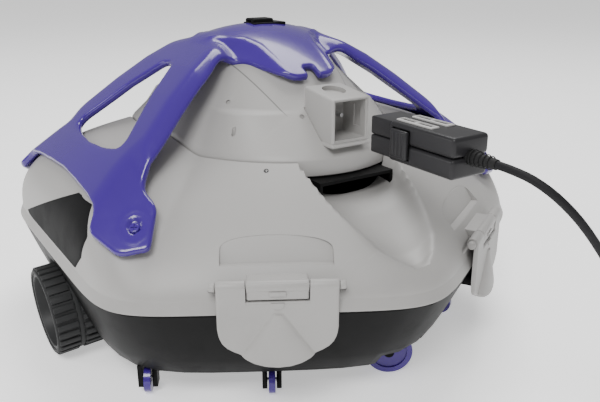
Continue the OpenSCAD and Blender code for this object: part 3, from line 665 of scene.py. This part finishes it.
def build_covers():
    """Dark panels let into the shell over the wheels."""
    n, m = 46, 30
    low = min(z for _, z in COVER)
    outline = [(x, z + WAIST) for x, z in COVER]

    def deck_y(x, z):
        """Where the deck's surface stands at this x and height."""
        a = 270.0
        for _ in range(60):
            r = deck_radius(a, deck_share(a, z))
            if z < WAIST + 8:
                r = hexagon(a) - 3 * (z - WAIST) / 8
            a = mix(a, 270 + math.degrees(math.asin(max(-0.9, min(0.9, x / r)))), 0.35)
        return -r * math.cos(math.radians(a - 270))

    def span(z):
        xs = []
        for (x0, z0), (x1, z1) in zip(outline, outline[1:] + outline[:1]):
            if (z0 - z) * (z1 - z) <= 0 and z0 != z1:
                xs.append(x0 + (x1 - x0) * (z - z0) / (z1 - z0))
        return min(xs), max(xs)

    rows = []
    bottom, top = WAIST + low + 0.3, WAIST + 59 - 0.4
    for k in range(m + 1):
        z = mix(bottom, top, k / m)
        x0, x1 = span(z)
        row = []
        for i in range(n + 1):
            x = mix(x0, x1, i / n)
            edge = min(1.0, x - x0, x1 - x, z - bottom + 0.2, top - z + 0.2)
            row.append((x, deck_y(x, z) - 0.75 * math.sqrt(max(0.0, edge)) + 0.25, z))
        rows.append(row)
    w = n + 1
    faces = [(k * w + i, k * w + i + 1, (k + 1) * w + i + 1, (k + 1) * w + i)
             for k in range(m) for i in range(n)]
    o = mesh_piece("Cover_right", [p for row in rows for p in row], faces)
    modify(o, "SOLIDIFY", thickness=0.0012, offset=-1)
    outward(o)
    round_off(o, 50)
    twin = turned(o, "Cover_left", about_z(180))
    hand_over(o, "upper", "cover_grey", finishes()["cover"], "side_cover_right")
    hand_over(twin, "upper", "cover_grey", finishes()["cover"], "side_cover_left")


# ---- dome --------------------------------------------------------------------
def build_dome():
    n = bpy.context.scene.cleaner_sizes.fineness
    angles = [i * 360 / n for i in range(n)]

    def rim(a):
        return ellipse(a, DOME_RX, DOME_RY)

    rings = [[polar(rim(a) - 0.8, a, 151.5) for a in angles],
             [polar(rim(a), a, 152.3) for a in angles],
             [polar(rim(a), a, deck_top(a) + 0.2) for a in angles],
             [polar(rim(a) - 0.5, a, deck_top(a) + 1.3) for a in angles]]
    levels = [k / 70 for k in range(1, 71)]
    rings += [[polar(dome_radius(a, v), a, mix(deck_top(a) + 3, DOME_TOP, v)) for a in angles]
              for v in levels]
    rings += [[polar(dome_radius(a, 1) * share, a, DOME_TOP + rise) for a in angles]
              for share, rise in ((0.92, 1.4), (0.5, 1.8), (0.5, -3))]
    rings += [[polar(dome_radius(a, v) - 3, a, mix(deck_top(a) + 3, DOME_TOP, v) - 3) for a in angles]
              for v in (0.98, 0.8, 0.6, 0.48, 0.4, 0.3, 0.15, 0.02)]
    rings += [[polar(rim(a) - 3, a, deck_top(a) - 2) for a in angles],
              [polar(rim(a) - 3, a, 151.5) for a in angles]]
    dome = from_rings("Dome", rings, loop=True)
    cut(dome, box((95.5, -16.8, 173.2), (140, 16.8, 208)))
    button_hole = rod((-140, 0, 187), (1, 0, 0), 9.5, 60)
    collar = rod((-118, 0, 187), (1, 0, 0), 13, 14, bevel=1.2)
    cut(collar, rod((-140, 0, 187), (1, 0, 0), 9.5, 60))
    cut(dome, button_hole)
    for az, z in ((-46, 198), (46, 198), (134, 198), (-134, 198), (-12, 190), (12, 190)):
        p = dome_point(az, z)
        out = Vector((p.x, p.y, 38)).normalized()
        cut(dome, rod(p - out * 2, out, 1.9, 8, sides=24))
    # a small vent on each shoulder of the dome
    for az in (-40, 40):
        for end in (0, 180):
            p = dome_point(az, 181)
            out = Vector((p.x, p.y, 20)).normalized()
            slot = box((-2.1, -1.6, -4), (2.1, 1.6, 4), 1.5)
            slot.data.transform(facing(p, out, "X", "Z"))
            slot.data.transform(about_z(end))
            cut(dome, slot)
    dome = join([dome, collar], "Dome")
    round_off(dome, 30)
    hand_over(dome, "upper", "shell_grey", seam_lines(), "dome_housing")


def seam_lines():
    """The shell's plastic with the dome's parting lines: a fine dark groove on each side."""
    f = satin("Dome plastic", tuple(bpy.context.scene.cleaner_colours.shell))
    x, y, z = (f.node("ShaderNodeSeparateXYZ", {}, {0: f.place}, k) for k in range(3))
    side = f.node("ShaderNodeMath", {"operation": "ABSOLUTE"}, {0: y})
    end = f.node("ShaderNodeMath", {"operation": "ABSOLUTE"}, {0: x})
    # the line leans from (65, 46, 224) down to (104, 32, 193) on each shoulder
    lean = side - ((0.224 - z) * -0.43 + 0.046)
    off = f.node("ShaderNodeMath", {"operation": "ABSOLUTE"}, {0: lean})
    line = f.between(0.0007, 0.0003, off) * f.between(0.19, 0.194, z) * f.between(0.03, 0.04, end)
    old = f.shader.inputs["Base Color"].links[0].from_socket
    f.feed("Base Color", f.tint(line * 0.75, Wire(f, old), (0.08, 0.08, 0.08)))
    return f.material


# ---- tub, wheels and small wheels --------------------------------------------
def build_tub():
    tub = copy_node("base_tub", "Tub", 35)
    hand_over(tub, "tub", "tub_black", finishes()["tub"], "base_tub")


def wheel_matrix(side):
    """From the wheel's own axis, +Z outwards and zero at the outer rim, to the row frame."""
    height = WHEEL_R * math.cos(math.radians(CAMBER))
    return (Matrix.Translation((0, side * WHEEL_OUT * MM, height * MM))
            @ Matrix.Rotation(math.radians(side * -(90 + CAMBER)), 4, "X"))


def build_wheels():
    s = bpy.context.scene.cleaner_sizes
    deselect()
    bpy.ops.mesh.primitive_cylinder_add(vertices=120, radius=34.2 * MM, depth=38 * MM,
                                        location=(0, 0, -19 * MM), end_fill_type="NOTHING")
    tyre = settle(bpy.context.object, "Tyre_right")
    modify(tyre, "SOLIDIFY", thickness=3.2 * MM, offset=-1)
    modify(tyre, "BEVEL", width=1.0 * MM, segments=3, limit_method="ANGLE")
    lug_out = box((32.5, -2.3, -17.2), (34.2 + s.lug_height * 1000, 2.3, -1.4), 0.7, 2)
    lug_in = box((32.5, -2.1, -36.6), (34.2 + s.lug_height * 1000, 2.1, -21.6), 0.7, 2)
    lug_in.data.transform(about_z(180 / s.lug_count))
    band = rod((0, 0, -21), (0, 0, 1), 35.0, 3.2, sides=120, bevel=0.4)
    lugs = []
    for k in range(s.lug_count):
        for lug in (lug_out, lug_in):
            lugs.append(turned(lug, "lug", about_z(360 * k / s.lug_count)))
    cut(band, rod((0, 0, -23), (0, 0, 1), 33.5, 8, sides=96))
    for o in (lug_out, lug_in):
        bpy.data.objects.remove(o)
    tyre = join([tyre, band] + lugs, "Tyre_right")
    round_off(tyre, 40)
    hub = rod((0, 0, -37), (0, 0, 1), 31.2, 36, sides=96)
    cut(hub, rod((0, 0, -19.5), (0, 0, 1), 27.2, 30, 29.4, sides=96),
        rod((0, 0, -50), (0, 0, 1), 29, 25.5, sides=96))
    modify(hub, "BEVEL", width=0.6 * MM, segments=2, limit_method="ANGLE",
           angle_limit=math.radians(50))
    cut(hub, rod((0, 0, -60), (0, 0, 1), PIN_BORE, 80, sides=48))
    boss = rod((0, 0, -35), (0, 0, 1), 10, 23, 8.4, bevel=0.8)
    cut(boss, rod((0, 0, -60), (0, 0, 1), PIN_BORE, 80, sides=48))
    parts = [hub, boss]
    for k in range(6):
        rib = box((8, -1.1, -20.5), (28.4, 1.1, -15.5), 0.5)
        rib.data.transform(about_z(60 * k))
        parts.append(rib)
    hub = join(parts, "Hub_right")
    round_off(hub, 40)
    for side, word in ((1, "left"), (-1, "right")):
        for o, slot, finish, node in ((tyre, "tread_rubber", "tyre", "tyre_"),
                                      (hub, "cover_grey", "hub", "wheel_hub_")):
            if side == 1:
                piece = turned(o, o.name.split("_")[0] + "_left", wheel_matrix(1))
            else:
                piece = o
                piece.data.transform(wheel_matrix(-1))
            hand_over(piece, "wheel_" + word, slot, finishes()[finish], node + word)


# ---- handle ------------------------------------------------------------------
def bend(points, closed_round=6):
    """A closed outline through (x, y, rounding) corners, each corner turned into a small arc."""
    line = []
    for i, (x, y, r) in enumerate(points):
        here = Vector((x, y))
        before, after = Vector(points[i - 1][:2]), Vector(points[(i + 1) % len(points)][:2])
        p = here + (before - here).normalized() * min(r, (before - here).length * 0.48)
        q = here + (after - here).normalized() * min(r, (after - here).length * 0.48)
        if r == 0:
            line.append(here)
            continue
        for k in range(closed_round + 1):
            t = k / closed_round
            line.append(p * (1 - t) ** 2 + here * 2 * t * (1 - t) + q * t * t)
    return line


# One quarter of the handle's plan: (x, y, rounding), from the tongue's notch to the side belt
QUARTER = ((75, 0, 0), (75, 4.6, 1), (84.5, 4.6, 2), (84.5, 14, 5), (79, 23, 8), (62, 31, 12),
           (46, 38, 10), (39, 46, 8), (41, 57, 8), (50, 70, 10), (63, 96, 12), (78, 122.5, 10),
           (86, 139, 6), (92, 143, 3), (106, 140, 3), (125, 154, 3), (117, 173, 6),
           (94, 184, 4), (84, 175, 6), (60, 173, 12), (0, 171, 0))
WINDOW = ((0, 80, 0), (9, 82, 4), (30, 113, 14), (52, 141, 9), (30, 147, 20), (0, 149, 0))
CAP_EDGE = ((0, 60), (12, 50), (20, 40), (30, 31.5), (44, 25.5), (62, 23.5), (79, 21.5), (90, 20))
SIDE_FALL = ((0, 275), (20, 262), (40, 247), (50, 240), (58, 234), (80, 221), (104, 203.5),
             (130, 181), (148, 165.5), (162, 154.5), (176, 143.5), (200, 125))
CREST = ((0, 14), (40, 26), (58, 36), (80, 46), (104, 57), (130, 72), (142, 84), (160, 120),
         (200, 160))


def handle_height(x, y):
    """Height of the handle's middle surface: crowned cap, sloping side frames, screwed feet."""
    x, y = abs(x), abs(y)
    over = max(0.0, y - table_at(CAP_EDGE, x)[1]) if x < 90 else 0.0
    t = ease((y - 36 - 0.1 * x) / 26)
    cap = 246.5 - 31.5 * (x / 84) ** 1.7 - 15 * (min(y, 68) / 68) ** 2
    cap -= 10 * (1 - math.exp(-over * over / (over + 2) / 9)) * (1 - t)
    fall = table_at(SIDE_FALL, y)[1]
    past = x - table_at(CREST, y)[1]
    side = fall + 2.5 * (1 - (x / 88) ** 2) * ease((y - 140) / 15)
    side -= 1.15 * (past + math.sqrt(past * past + 9)) / 2
    foot = 153 - 0.7266 * (x - 87) - 0.4624 * (y - 148) + 9 * (1 - ease((y - 126) / 20))
    return mix(cap, soft_min(side, foot, 5), t)


def around(points):
    """The quarter's points, carried round the other three quarters."""
    back = tuple(reversed(points))[1:-1]
    right = [(x, -y, r) for x, y, r in points] + [(-x, -y, r) for x, y, r in back]
    left = [(-x, y, r) for x, y, r in points] + [(x, y, r) for x, y, r in back]
    return right + left


def build_handle():
    s = bpy.context.scene.cleaner_sizes
    curve = bpy.data.curves.new("Handle", "CURVE")
    curve.dimensions, curve.fill_mode = "2D", "BOTH"
    outlines = [bend(around(QUARTER))]
    for side in (1, -1):
        quarter = [(x, side * y, r) for x, y, r in WINDOW]
        outlines.append(bend(quarter + [(-x, y, r) for x, y, r in reversed(quarter)][1:-1]))
    for outline in outlines:
        path = curve.splines.new("POLY")
        path.points.add(len(outline) - 1)
        for point, p in zip(path.points, outline):
            point.co = (p.x * MM, p.y * MM, 0, 1)
        path.use_cyclic_u = True
    rounding = 1.4 * MM
    curve.extrude, curve.bevel_resolution = 1.6 * MM, 3
    curve.bevel_depth, curve.offset = rounding, -rounding
    handle = bpy.data.objects.new("Handle", curve)
    bpy.context.scene.collection.objects.link(handle)
    pick(handle)
    bpy.ops.object.convert(target="MESH")
    handle = bpy.context.object
    modify(handle, "REMESH", mode="VOXEL", voxel_size=s.handle_grain)
    modify(handle, "SMOOTH", factor=0.5, iterations=4)
    for v in handle.data.vertices:
        x, y, z = (c / MM for c in v.co)
        ax, ay = abs(x), abs(y)
        top = ease((z + 0.5) / 2)
        step = 0.4
        slope = Vector((handle_height(x - step, y) - handle_height(x + step, y),
                        handle_height(x, y - step) - handle_height(x, y + step),
                        2 * step)).normalized()
        # a small well for each screw
        screw = math.hypot(ax - 108, ay - 157)
        rise = (0.35 * (ease((screw - 8.2) / 0.8) - ease((screw - 9.6) / 0.8))
                - 1.7 * (1 - ease((screw - 3.9) / 0.8)))
        if ay < 50:
            edge = ay - table_at(CAP_EDGE, min(ax, 89))[1]
            rise += 0.5 * math.exp(-((edge + 1.5) / 1.6) ** 2)
        p = Vector((x, y, handle_height(x, y))) + slope * (z + rise * top)
        v.co = p * MM
    outward(handle)
    round_off(handle, 50)
    hand_over(handle, "upper", "handle_violet", finishes()["violet"], "carry_handle")
    # hook block on the cap
    plate = box((-8, -9, 247.2), (10, 22, 249.8), 0.7)
    block = box((-7, -8, 247.2), (7, 12, 253.0), 1.6, 4)
    hook = fuse([plate, block], "Hook")
    cut(hook, box((-3.6, -20, 250.2), (3.6, 20, 251.4), 0.4))
    round_off(hook, 35)
    hand_over(hook, "upper", "tub_black", finishes()["tub"], "retrieval_hook")


# ---- latches -----------------------------------------------------------------
def latch_bottom(s):
    """Lower edge of the latch plate, at a distance s along the pin from its middle."""
    rows = ((0, -54), (8, -53.4), (15, -51.8), (21, -49.4), (25, -46.9), (29, -45),
            (33, -42.4), (36, -39), (38, -34.5), (LATCH_HALF, -28))
    return table_at(rows, min(abs(s), LATCH_HALF - 0.001))[1]


def build_latch_plate():
    columns = sorted({round(x, 3) for x in
                      [-39 + 78 * k / 104 for k in range(105)] + [-20.52, -20.48, 20.48, 20.52]
                      + [-38.6, 38.6, -38.9, 38.9]})
    levels = 56
    front, back = [], []
    for s in columns:
        top = -9.4 if abs(s) < GAP_HALF else 1.2
        low = latch_bottom(s)
        for k in range(levels + 1):
            z = mix(low, top, k / levels)
            near = min(LATCH_HALF - abs(s), z - low, top - z)
            edge = 1.1 * (1 - min(1.0, max(0.0, near) / 1.4)) ** 2
            t = min(1.0, max(0.0, (-z - 17.5) / 36))
            half = 3.0 + 25 * t
            fan = 0.0
            if t > 0 and abs(s) < half:
                fan = (1.3 + 5.0 * t) * (1 - (abs(s) / half) ** 2) ** 0.6
            curl = 0.8 * max(0.0, (-z - 30) / 24) ** 2
            front.append((HINGE_D + 4.2 + fan - edge - curl, s, HINGE_Z + z))
            back.append((HINGE_D + 1.2 + 0.2 * fan - curl, s, HINGE_Z + z))
    m = levels + 1
    n = len(columns)
    faces = []
    for i in range(n - 1):
        for k in range(levels):
            a, b = i * m + k, (i + 1) * m + k
            faces.append((a, b, b + 1, a + 1))
            faces.append((n * m + a, n * m + a + 1, n * m + b + 1, n * m + b))
    for i in range(n - 1):
        for k in (0, levels):
            a, b = i * m + k, (i + 1) * m + k
            faces.append((a, n * m + a, n * m + b, b))
    for i in (0, n - 1):
        for k in range(levels):
            a = i * m + k
            faces.append((a, a + 1, n * m + a + 1, n * m + a))
    return outward(mesh_piece("plate", front + back, faces))


def build_latches():
    parts = [build_latch_plate()]
    for s in (-39, 20.6):
        parts.append(rod((HINGE_D, s, HINGE_Z), (0, 1, 0), 4.2, 18.4, bevel=0.6))
    moon = rod((HINGE_D + 3.4, 0, HINGE_Z - 10.2), (1, 0, 0), 4.6, 1.5, 4.2, 40, 0.3)
    cut(moon, box((HINGE_D, -10, HINGE_Z - 9.9), (HINGE_D + 12, 10, HINGE_Z)))
    parts.append(moon)
    latch = join(parts, "Latch_1")
    round_off(latch, 38)
    for i, (az, shift) in enumerate(LATCHES, 1):
        piece = turned(latch, f"Latch_piece_{i}", latch_frame(az, shift))
        hand_over(piece, f"latch_{i}", "shell_grey", finishes()["shell"], f"latch_{i}")
    bpy.data.objects.remove(latch)
    bosses = []
    for az, shift in LATCHES:
        for s in (-1, 1):
            boss = rod((HINGE_D, s * 39.6, HINGE_Z), (0, s, 0), 3.0, 4.0, 2.7, 32, 0.6)
            boss.data.transform(latch_frame(az, shift))
            bosses.append(boss)
        pin = rod((HINGE_D, -42, HINGE_Z), (0, 1, 0), 1.6, 84, sides=24)
        pin.data.transform(latch_frame(az, shift))
        bosses.append(pin)
    pins = join(bosses, "Latch_pins")
    round_off(pins, 40)
    hand_over(pins, "upper", "pin_steel", finishes()["shell"], "latch_pins")


# ---- socket, connector and lead ----------------------------------------------
def build_socket():
    o = box((96, -16.5, 173.5), (132, 16.5, 206.5))
    pick(o)
    for v in o.data.vertices:
        if v.co.z > 0.2 and v.co.x < 0.1:
            v.co.z += 0.005
    modify(o, "BEVEL", width=1.6 * MM, segments=4, limit_method="ANGLE")
    cut(o, box((104, -13.5, 176.5), (140, 13.5, 204.5), 0.8),
        box((131, -14.6, 175.4), (140, 14.6, 205.6), 0.6))
    recess = rod((110, 0, 206.4), (0.14, 0, 1), 8.5, 8, sides=48)
    recess.data.transform(Matrix.Translation((0.110, 0, 0)) @ Matrix.Diagonal((1.15, 1, 1, 1))
                          @ Matrix.Translation((-0.110, 0, 0)))
    cut(o, recess)
    step = box((106, -17.2, 171.6), (133.6, 17.2, 174.6), 1.0)
    cut(step, box((104, -13.5, 168), (131.5, 13.5, 180)))
    o = fuse([o, step], "Socket")
    cut(o, box((117, 13, 183), (125, 14.6, 199), 0.3))
    round_off(o, 35)
    hand_over(o, "upper", "shell_grey", finishes()["shell"], "socket_housing")


def build_connector():
    for name, low, high, node in (("Connector_low", 177.7, 190.35, "connector_lower"),
                                  ("Connector_top", 190.75, 203.3, "connector_upper")):
        near, far = (low + 0.6, high) if node == "connector_lower" else (low, high - 0.6)
        tip = box((170.2, -12.7, near), (193, 12.7, far), 1.2)
        main = box((190.5, -14.7, low), (248, 14.7, high), 2.6, 5)
        o = fuse([main, tip], name)
        cut(o, *[box((194.2, s * 13.2 - 3, 180.6), (210.8, s * 13.2 + 3, 200.4), 0.6)
                 for s in (-1.14, 1.14)])
        cut(o, rod((236, 0, PLUG_Z), (1, 0, 0), 4.7, 20, sides=40))
        cut(o, *[rod((169, s, PLUG_Z), (1, 0, 0), 2.4, 16, sides=24) for s in (-5, 5)])
        round_off(o, 35)
        hand_over(o, "lead", "connector_black", finishes()["lead"], node)
    strips, pads = [], []
    for y in (-6.5, 6.5):
        rim = box((192, y - 3.4, 203.0), (224, y + 3.4, 204.4), 0.5)
        cut(rim, *[box((x, y - 2.0, 203.6), (x + 13, y + 2.0, 206), 0.3) for x in (194, 209)])
        strips.append(rim)
        pads += [box((194.3, y - 1.9, 203.0), (206.7, y + 1.9, 203.8), 0.3),
                 box((209.3, y - 1.9, 203.0), (221.7, y + 1.9, 203.8), 0.3)]
    rims = join(strips, "Contact_frames")
    round_off(rims, 35)
    hand_over(rims, "lead", "connector_black", finishes()["frame"], "connector_contacts")
    pads = join(pads, "Contact_pads")
    round_off(pads, 35)
    hand_over(pads, "lead", "connector_black", finishes()["dark"])
    for side, word in ((-1, "right"), (1, "left")):
        y = side * 16.0
        body = box((195, y - 1.7, 181.4), (210, y + 1.7, 199.6), 1.3, 3)
        near, far = sorted((y + side * 0.6, y + side * 2.1))
        ribs = [box((197.2 + 3.2 * k, near, 183), (199.1 + 3.2 * k, far, 198), 0.6)
                for k in range(4)]
        o = join([body] + ribs, "Clip_" + word)
        round_off(o, 35)
        hand_over(o, "clip_" + word, "connector_black", finishes()["lead"], "squeeze_clip_" + word)


def build_lead():
    s = bpy.context.scene.cleaner_sizes
    relief = rod((237, 0, PLUG_Z), (1, 0, 0), 4.5, 11, bevel=0.4)
    boot = rod((247.6, 0, PLUG_Z), (1, 0, 0), 4.4, 20.4, 3.1, 48, 0.3)
    for k in range(5):
        deselect()
        bpy.ops.mesh.primitive_torus_add(major_radius=(4.9 - 0.24 * k) * MM, minor_radius=0.32 * MM,
                                         major_segments=40, minor_segments=8,
                                         location=((250.5 + 3.2 * k) * MM, 0, PLUG_Z * MM),
                                         rotation=(0, math.pi / 2, 0))
        ring = settle(bpy.context.object)
        boot = join([boot, ring], "boot")
    relief = join([relief, boot], "Strain_relief")
    round_off(relief, 40)
    hand_over(relief, "lead", "seal_rubber", finishes()["seal"], "strain_relief")
    # charger block: rounded body, cable cone and two round pins
    body = box((292, 276, 0), (328, 326, 20), 3.0, 4)
    cone = rod((310, 276.5, 10), (0, -1, 0), 5, 8.5, 3.5, 40, 0.4)
    face = box((296, 325.2, 4), (324, 326, 16), 0.3)
    charger = join([body, cone, face], "Charger")
    round_off(charger, 35)
    hand_over(charger, "lead", "connector_black", finishes()["lead"], "charger_body")
    pins = join([rod((310 + x, 326, 10), (0, 1, 0), 2, 18, bevel=0.8) for x in (-9.5, 9.5)],
                "Charger_pins")
    round_off(pins, 40)
    hand_over(pins, "lead", "pin_steel", finishes()["steel"], "charger_pins")
    # one cord: hanging stretch, six turns side by side and on each other, tail to the charger
    line = spline(ROUTE, 3)
    centre, turns = Vector((275, 235, 0)), []
    tracks = [(35, 2.5), (30, 2.5), (25, 2.5), (25, 7.5), (30, 7.5), (35, 7.5)]
    for k, (radius, height) in enumerate(tracks):
        before = tracks[k - 1] if k else tracks[0]
        for i in range(1, 37):
            t = i / 36
            blend = ease(t / 0.2) if k else 1.0
            r = mix(before[0], radius, blend)
            z = mix(before[1], height, blend)
            a = 2 * math.pi * t
            turns.append(centre + Vector((r * math.cos(a), r * math.sin(a), z)))
    line += turns + spline(TAIL, 3)[1:]
    curve = bpy.data.curves.new("Cord", "CURVE")
    curve.dimensions = "3D"
    curve.bevel_depth = s.cord / 2
    curve.bevel_resolution = 4
    curve.resolution_u = 2
    path = curve.splines.new("POLY")
    path.points.add(len(line) - 1)
    for point, p in zip(path.points, line):
        point.co = (*(p * MM), 1)
    path.use_smooth = True
    cord = bpy.data.objects.new("Cord", curve)
    bpy.context.scene.collection.objects.link(cord)
    cord.data.materials.append(finishes()["cord"])
    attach(cord, "lead")
    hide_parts("charging_cord", "cord_coil", "cord_tail")
    length = sum((b - a).length for a, b in zip(line, line[1:])) * MM


# ---- screws ------------------------------------------------------------------
def screw_head(radius, height):
    o = rod((0, 0, -1), (0, 0, 1), radius, height + 1, radius * 0.88, 32, 0.35)
    cut(o, box((-radius * 0.62, -0.35, height - 0.7), (radius * 0.62, 0.35, height + 1)),
        box((-0.35, -radius * 0.62, height - 0.7), (0.35, radius * 0.62, height + 1)))
    return o


def build_screws():
    small, heads = screw_head(2.1, 0.7), []
    for az, inset in SCREWS:
        for sx in (1, -1):
            for sy in (1, -1):
                r = ellipse(az, DOME_RX, DOME_RY) + 2 + inset
                x, y, z = polar(r, az, SEAM - inset * 0.62)
                p = Vector((x * sx, y * sy, z))
                out = Vector((p.x, p.y, 1.6 * math.hypot(p.x, p.y))).normalized()
                heads.append(turned(small, "head", facing(p - out * 0.5, out)))
    bpy.data.objects.remove(small)
    screws = join(heads, "Deck_screws")
    round_off(screws, 40)
    hand_over(screws, "upper", "pin_steel", finishes()["hub"], "shell_screws")
    large, heads = screw_head(3.6, 1.2), []
    for sx in (1, -1):
        for sy in (1, -1):
            out = Vector((0.55 * sx, -0.35 * sy, 0.757)).normalized()
            p = Vector((108 * sx, -157 * sy, 131.5)) + out * 3.9
            heads.append(turned(large, "head", facing(p, out)))
    bpy.data.objects.remove(large)
    screws = join(heads, "Handle_screws")
    round_off(screws, 40)
    hand_over(screws, "upper", "pin_steel", finishes()["violet"], "handle_screws")


CARRIED = {
    "seal": ("body_seal",),
    "inner": ("filter_basket", "dome_floor", "pump_housing", "inlet_flap"),
    "cloth": ("filter_mesh",),
    "violet": ("guide_wheel_front", "guide_wheel_rear", "impeller", "edge_roller_1", "edge_roller_2",
               "edge_roller_3", "edge_roller_4", "edge_roller_5", "edge_roller_6"),
    "tub": ("guide_fork_front", "guide_fork_rear", "outlet_duct_front", "outlet_duct_rear"),
    "steel": ("flap_pin", "wheel_axles", "roller_pins", "socket_contacts"),
    "can": ("pump_motor",),
    "wrap": ("battery_pack",),
    "board": ("control_board",),
    "dark": ("power_button",),
}


def build_carried():
    """CAD nodes whose shape is right keep it and get their material."""
    for finish, nodes in CARRIED.items():
        for node in nodes:
            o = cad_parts[node]
            o.data.materials.clear()
            o.data.materials.append(finishes()[finish])


def build_stage():
    deselect()
    bpy.ops.mesh.primitive_plane_add(size=80, location=(0, 0, -0.0005))
    floor = settle(bpy.context.object, "Floor")
    f = Finish("Floor paint", Roughness=0.7, Emission_Color=(1, 1, 1, 1), Emission_Strength=0.6)
    f.feed("Base Color", f.tint(f.noise(3.0), (0.86, 0.86, 0.86), (0.9, 0.9, 0.9)))
    floor.data.materials.append(f.material)
    world = bpy.data.worlds.new("Soft room")
    world.use_nodes = True
    world.node_tree.nodes["Background"].inputs[0].default_value = (1, 1, 1, 1)
    world.node_tree.nodes["Background"].inputs[1].default_value = 0.4
    bpy.context.scene.world = world
    for name, at, aim, size, power in (
            ("Key", (1.2, -1.1, 1.9), (0, 0, 0.1), 0.9, 44),
            ("Side", (-0.7, -1.7, 0.9), (0, 0, 0.12), 0.8, 10),
            ("Top", (-0.5, 0.6, 2.0), (0, 0, 0.1), 1.2, 36)):
        light = bpy.data.lights.new(name, "AREA")
        light.size, light.energy = size, power
        o = bpy.data.objects.new(name, light)
        o.location = at
        o.rotation_euler = (Vector(aim) - Vector(at)).to_track_quat("-Z", "Y").to_euler()
        bpy.context.scene.collection.objects.link(o)
    camera = bpy.data.cameras.new("Camera")
    camera.lens, camera.sensor_width = 41.95, 36
    o = bpy.data.objects.new("Camera", camera)
    pitch = math.radians(19.266)
    look = Vector((-0.8364 * math.cos(pitch), 0.5482 * math.cos(pitch), -math.sin(pitch)))
    o.location = (0.5235, -0.3004, 0.3013)
    o.rotation_euler = look.to_track_quat("-Z", "Y").to_euler()
    camera.clip_start = 0.02
    bpy.context.scene.collection.objects.link(o)
    bpy.context.scene.camera = o


# ---- operators, panel and registration ---------------------------------------
STEPS = (
    ("stage", "Stage", "Floor, soft light and camera", build_stage),
    ("lead", "Lead", "Strain relief, cord, coil and charger", build_lead),
    ("shell", "Top shell", "Grey shell with its water troughs and latch recesses", build_shell),
    ("covers", "Side covers", "Dark panels over the wheels", build_covers),
    ("dome", "Dome", "Dome housing with its seams, vents and button collar", build_dome),
    ("tub", "Tub", "Black tub", build_tub),
    ("wheels", "Road wheels", "Ribbed tyres and dished hubs", build_wheels),
    ("handle", "Handle", "Carrying handle and hook block", build_handle),
    ("latches", "Latches", "Four latches and their pins", build_latches),
    ("socket", "Socket", "Charging socket", build_socket),
    ("connector", "Connector", "Charging connector and its squeeze clips", build_connector),
    ("screws", "Screws", "Screw heads of the deck and the handle", build_screws),
    ("carried", "Carried parts", "Materials of the CAD parts that keep their shape", build_carried),
)


def make_operator(key, label, words, build):
    def execute(self, context):
        build()
        return {"FINISHED"}

    return type(f"CLEANER_OT_{key}", (bpy.types.Operator,), {
        "bl_idname": f"cleaner.{key}", "bl_label": label, "bl_options": {"REGISTER", "UNDO"},
        "__doc__": words, "execute": execute})


OPERATORS = tuple(make_operator(*step) for step in STEPS)


class CLEANER_PT_panel(bpy.types.Panel):
    """Lists the pieces and their settings."""

    bl_label = "Pool Cleaner"
    bl_idname = "CLEANER_PT_panel"
    bl_space_type = "VIEW_3D"
    bl_region_type = "UI"
    bl_category = "Pool Cleaner"

    def draw(self, context):
        for group in (context.scene.cleaner_colours, context.scene.cleaner_sizes):
            column = self.layout.column(align=True)
            for name in group.__annotations__:
                column.prop(group, name)
        column = self.layout.column(align=True)
        for operator in OPERATORS:
            column.operator(operator.bl_idname)


CLASSES = (CleanerColours, CleanerSizes, *OPERATORS, CLEANER_PT_panel)


def register():
    for c in CLASSES:
        bpy.utils.register_class(c)
    bpy.types.Scene.cleaner_colours = bpy.props.PointerProperty(type=CleanerColours)
    bpy.types.Scene.cleaner_sizes = bpy.props.PointerProperty(type=CleanerSizes)


def unregister():
    del bpy.types.Scene.cleaner_sizes
    del bpy.types.Scene.cleaner_colours
    for c in reversed(CLASSES):
        bpy.utils.unregister_class(c)


def main():
    register()
    for key, *_ in STEPS:
        getattr(bpy.ops.cleaner, key)()
    deselect()
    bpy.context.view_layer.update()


if __name__ == "__main__":
    main()
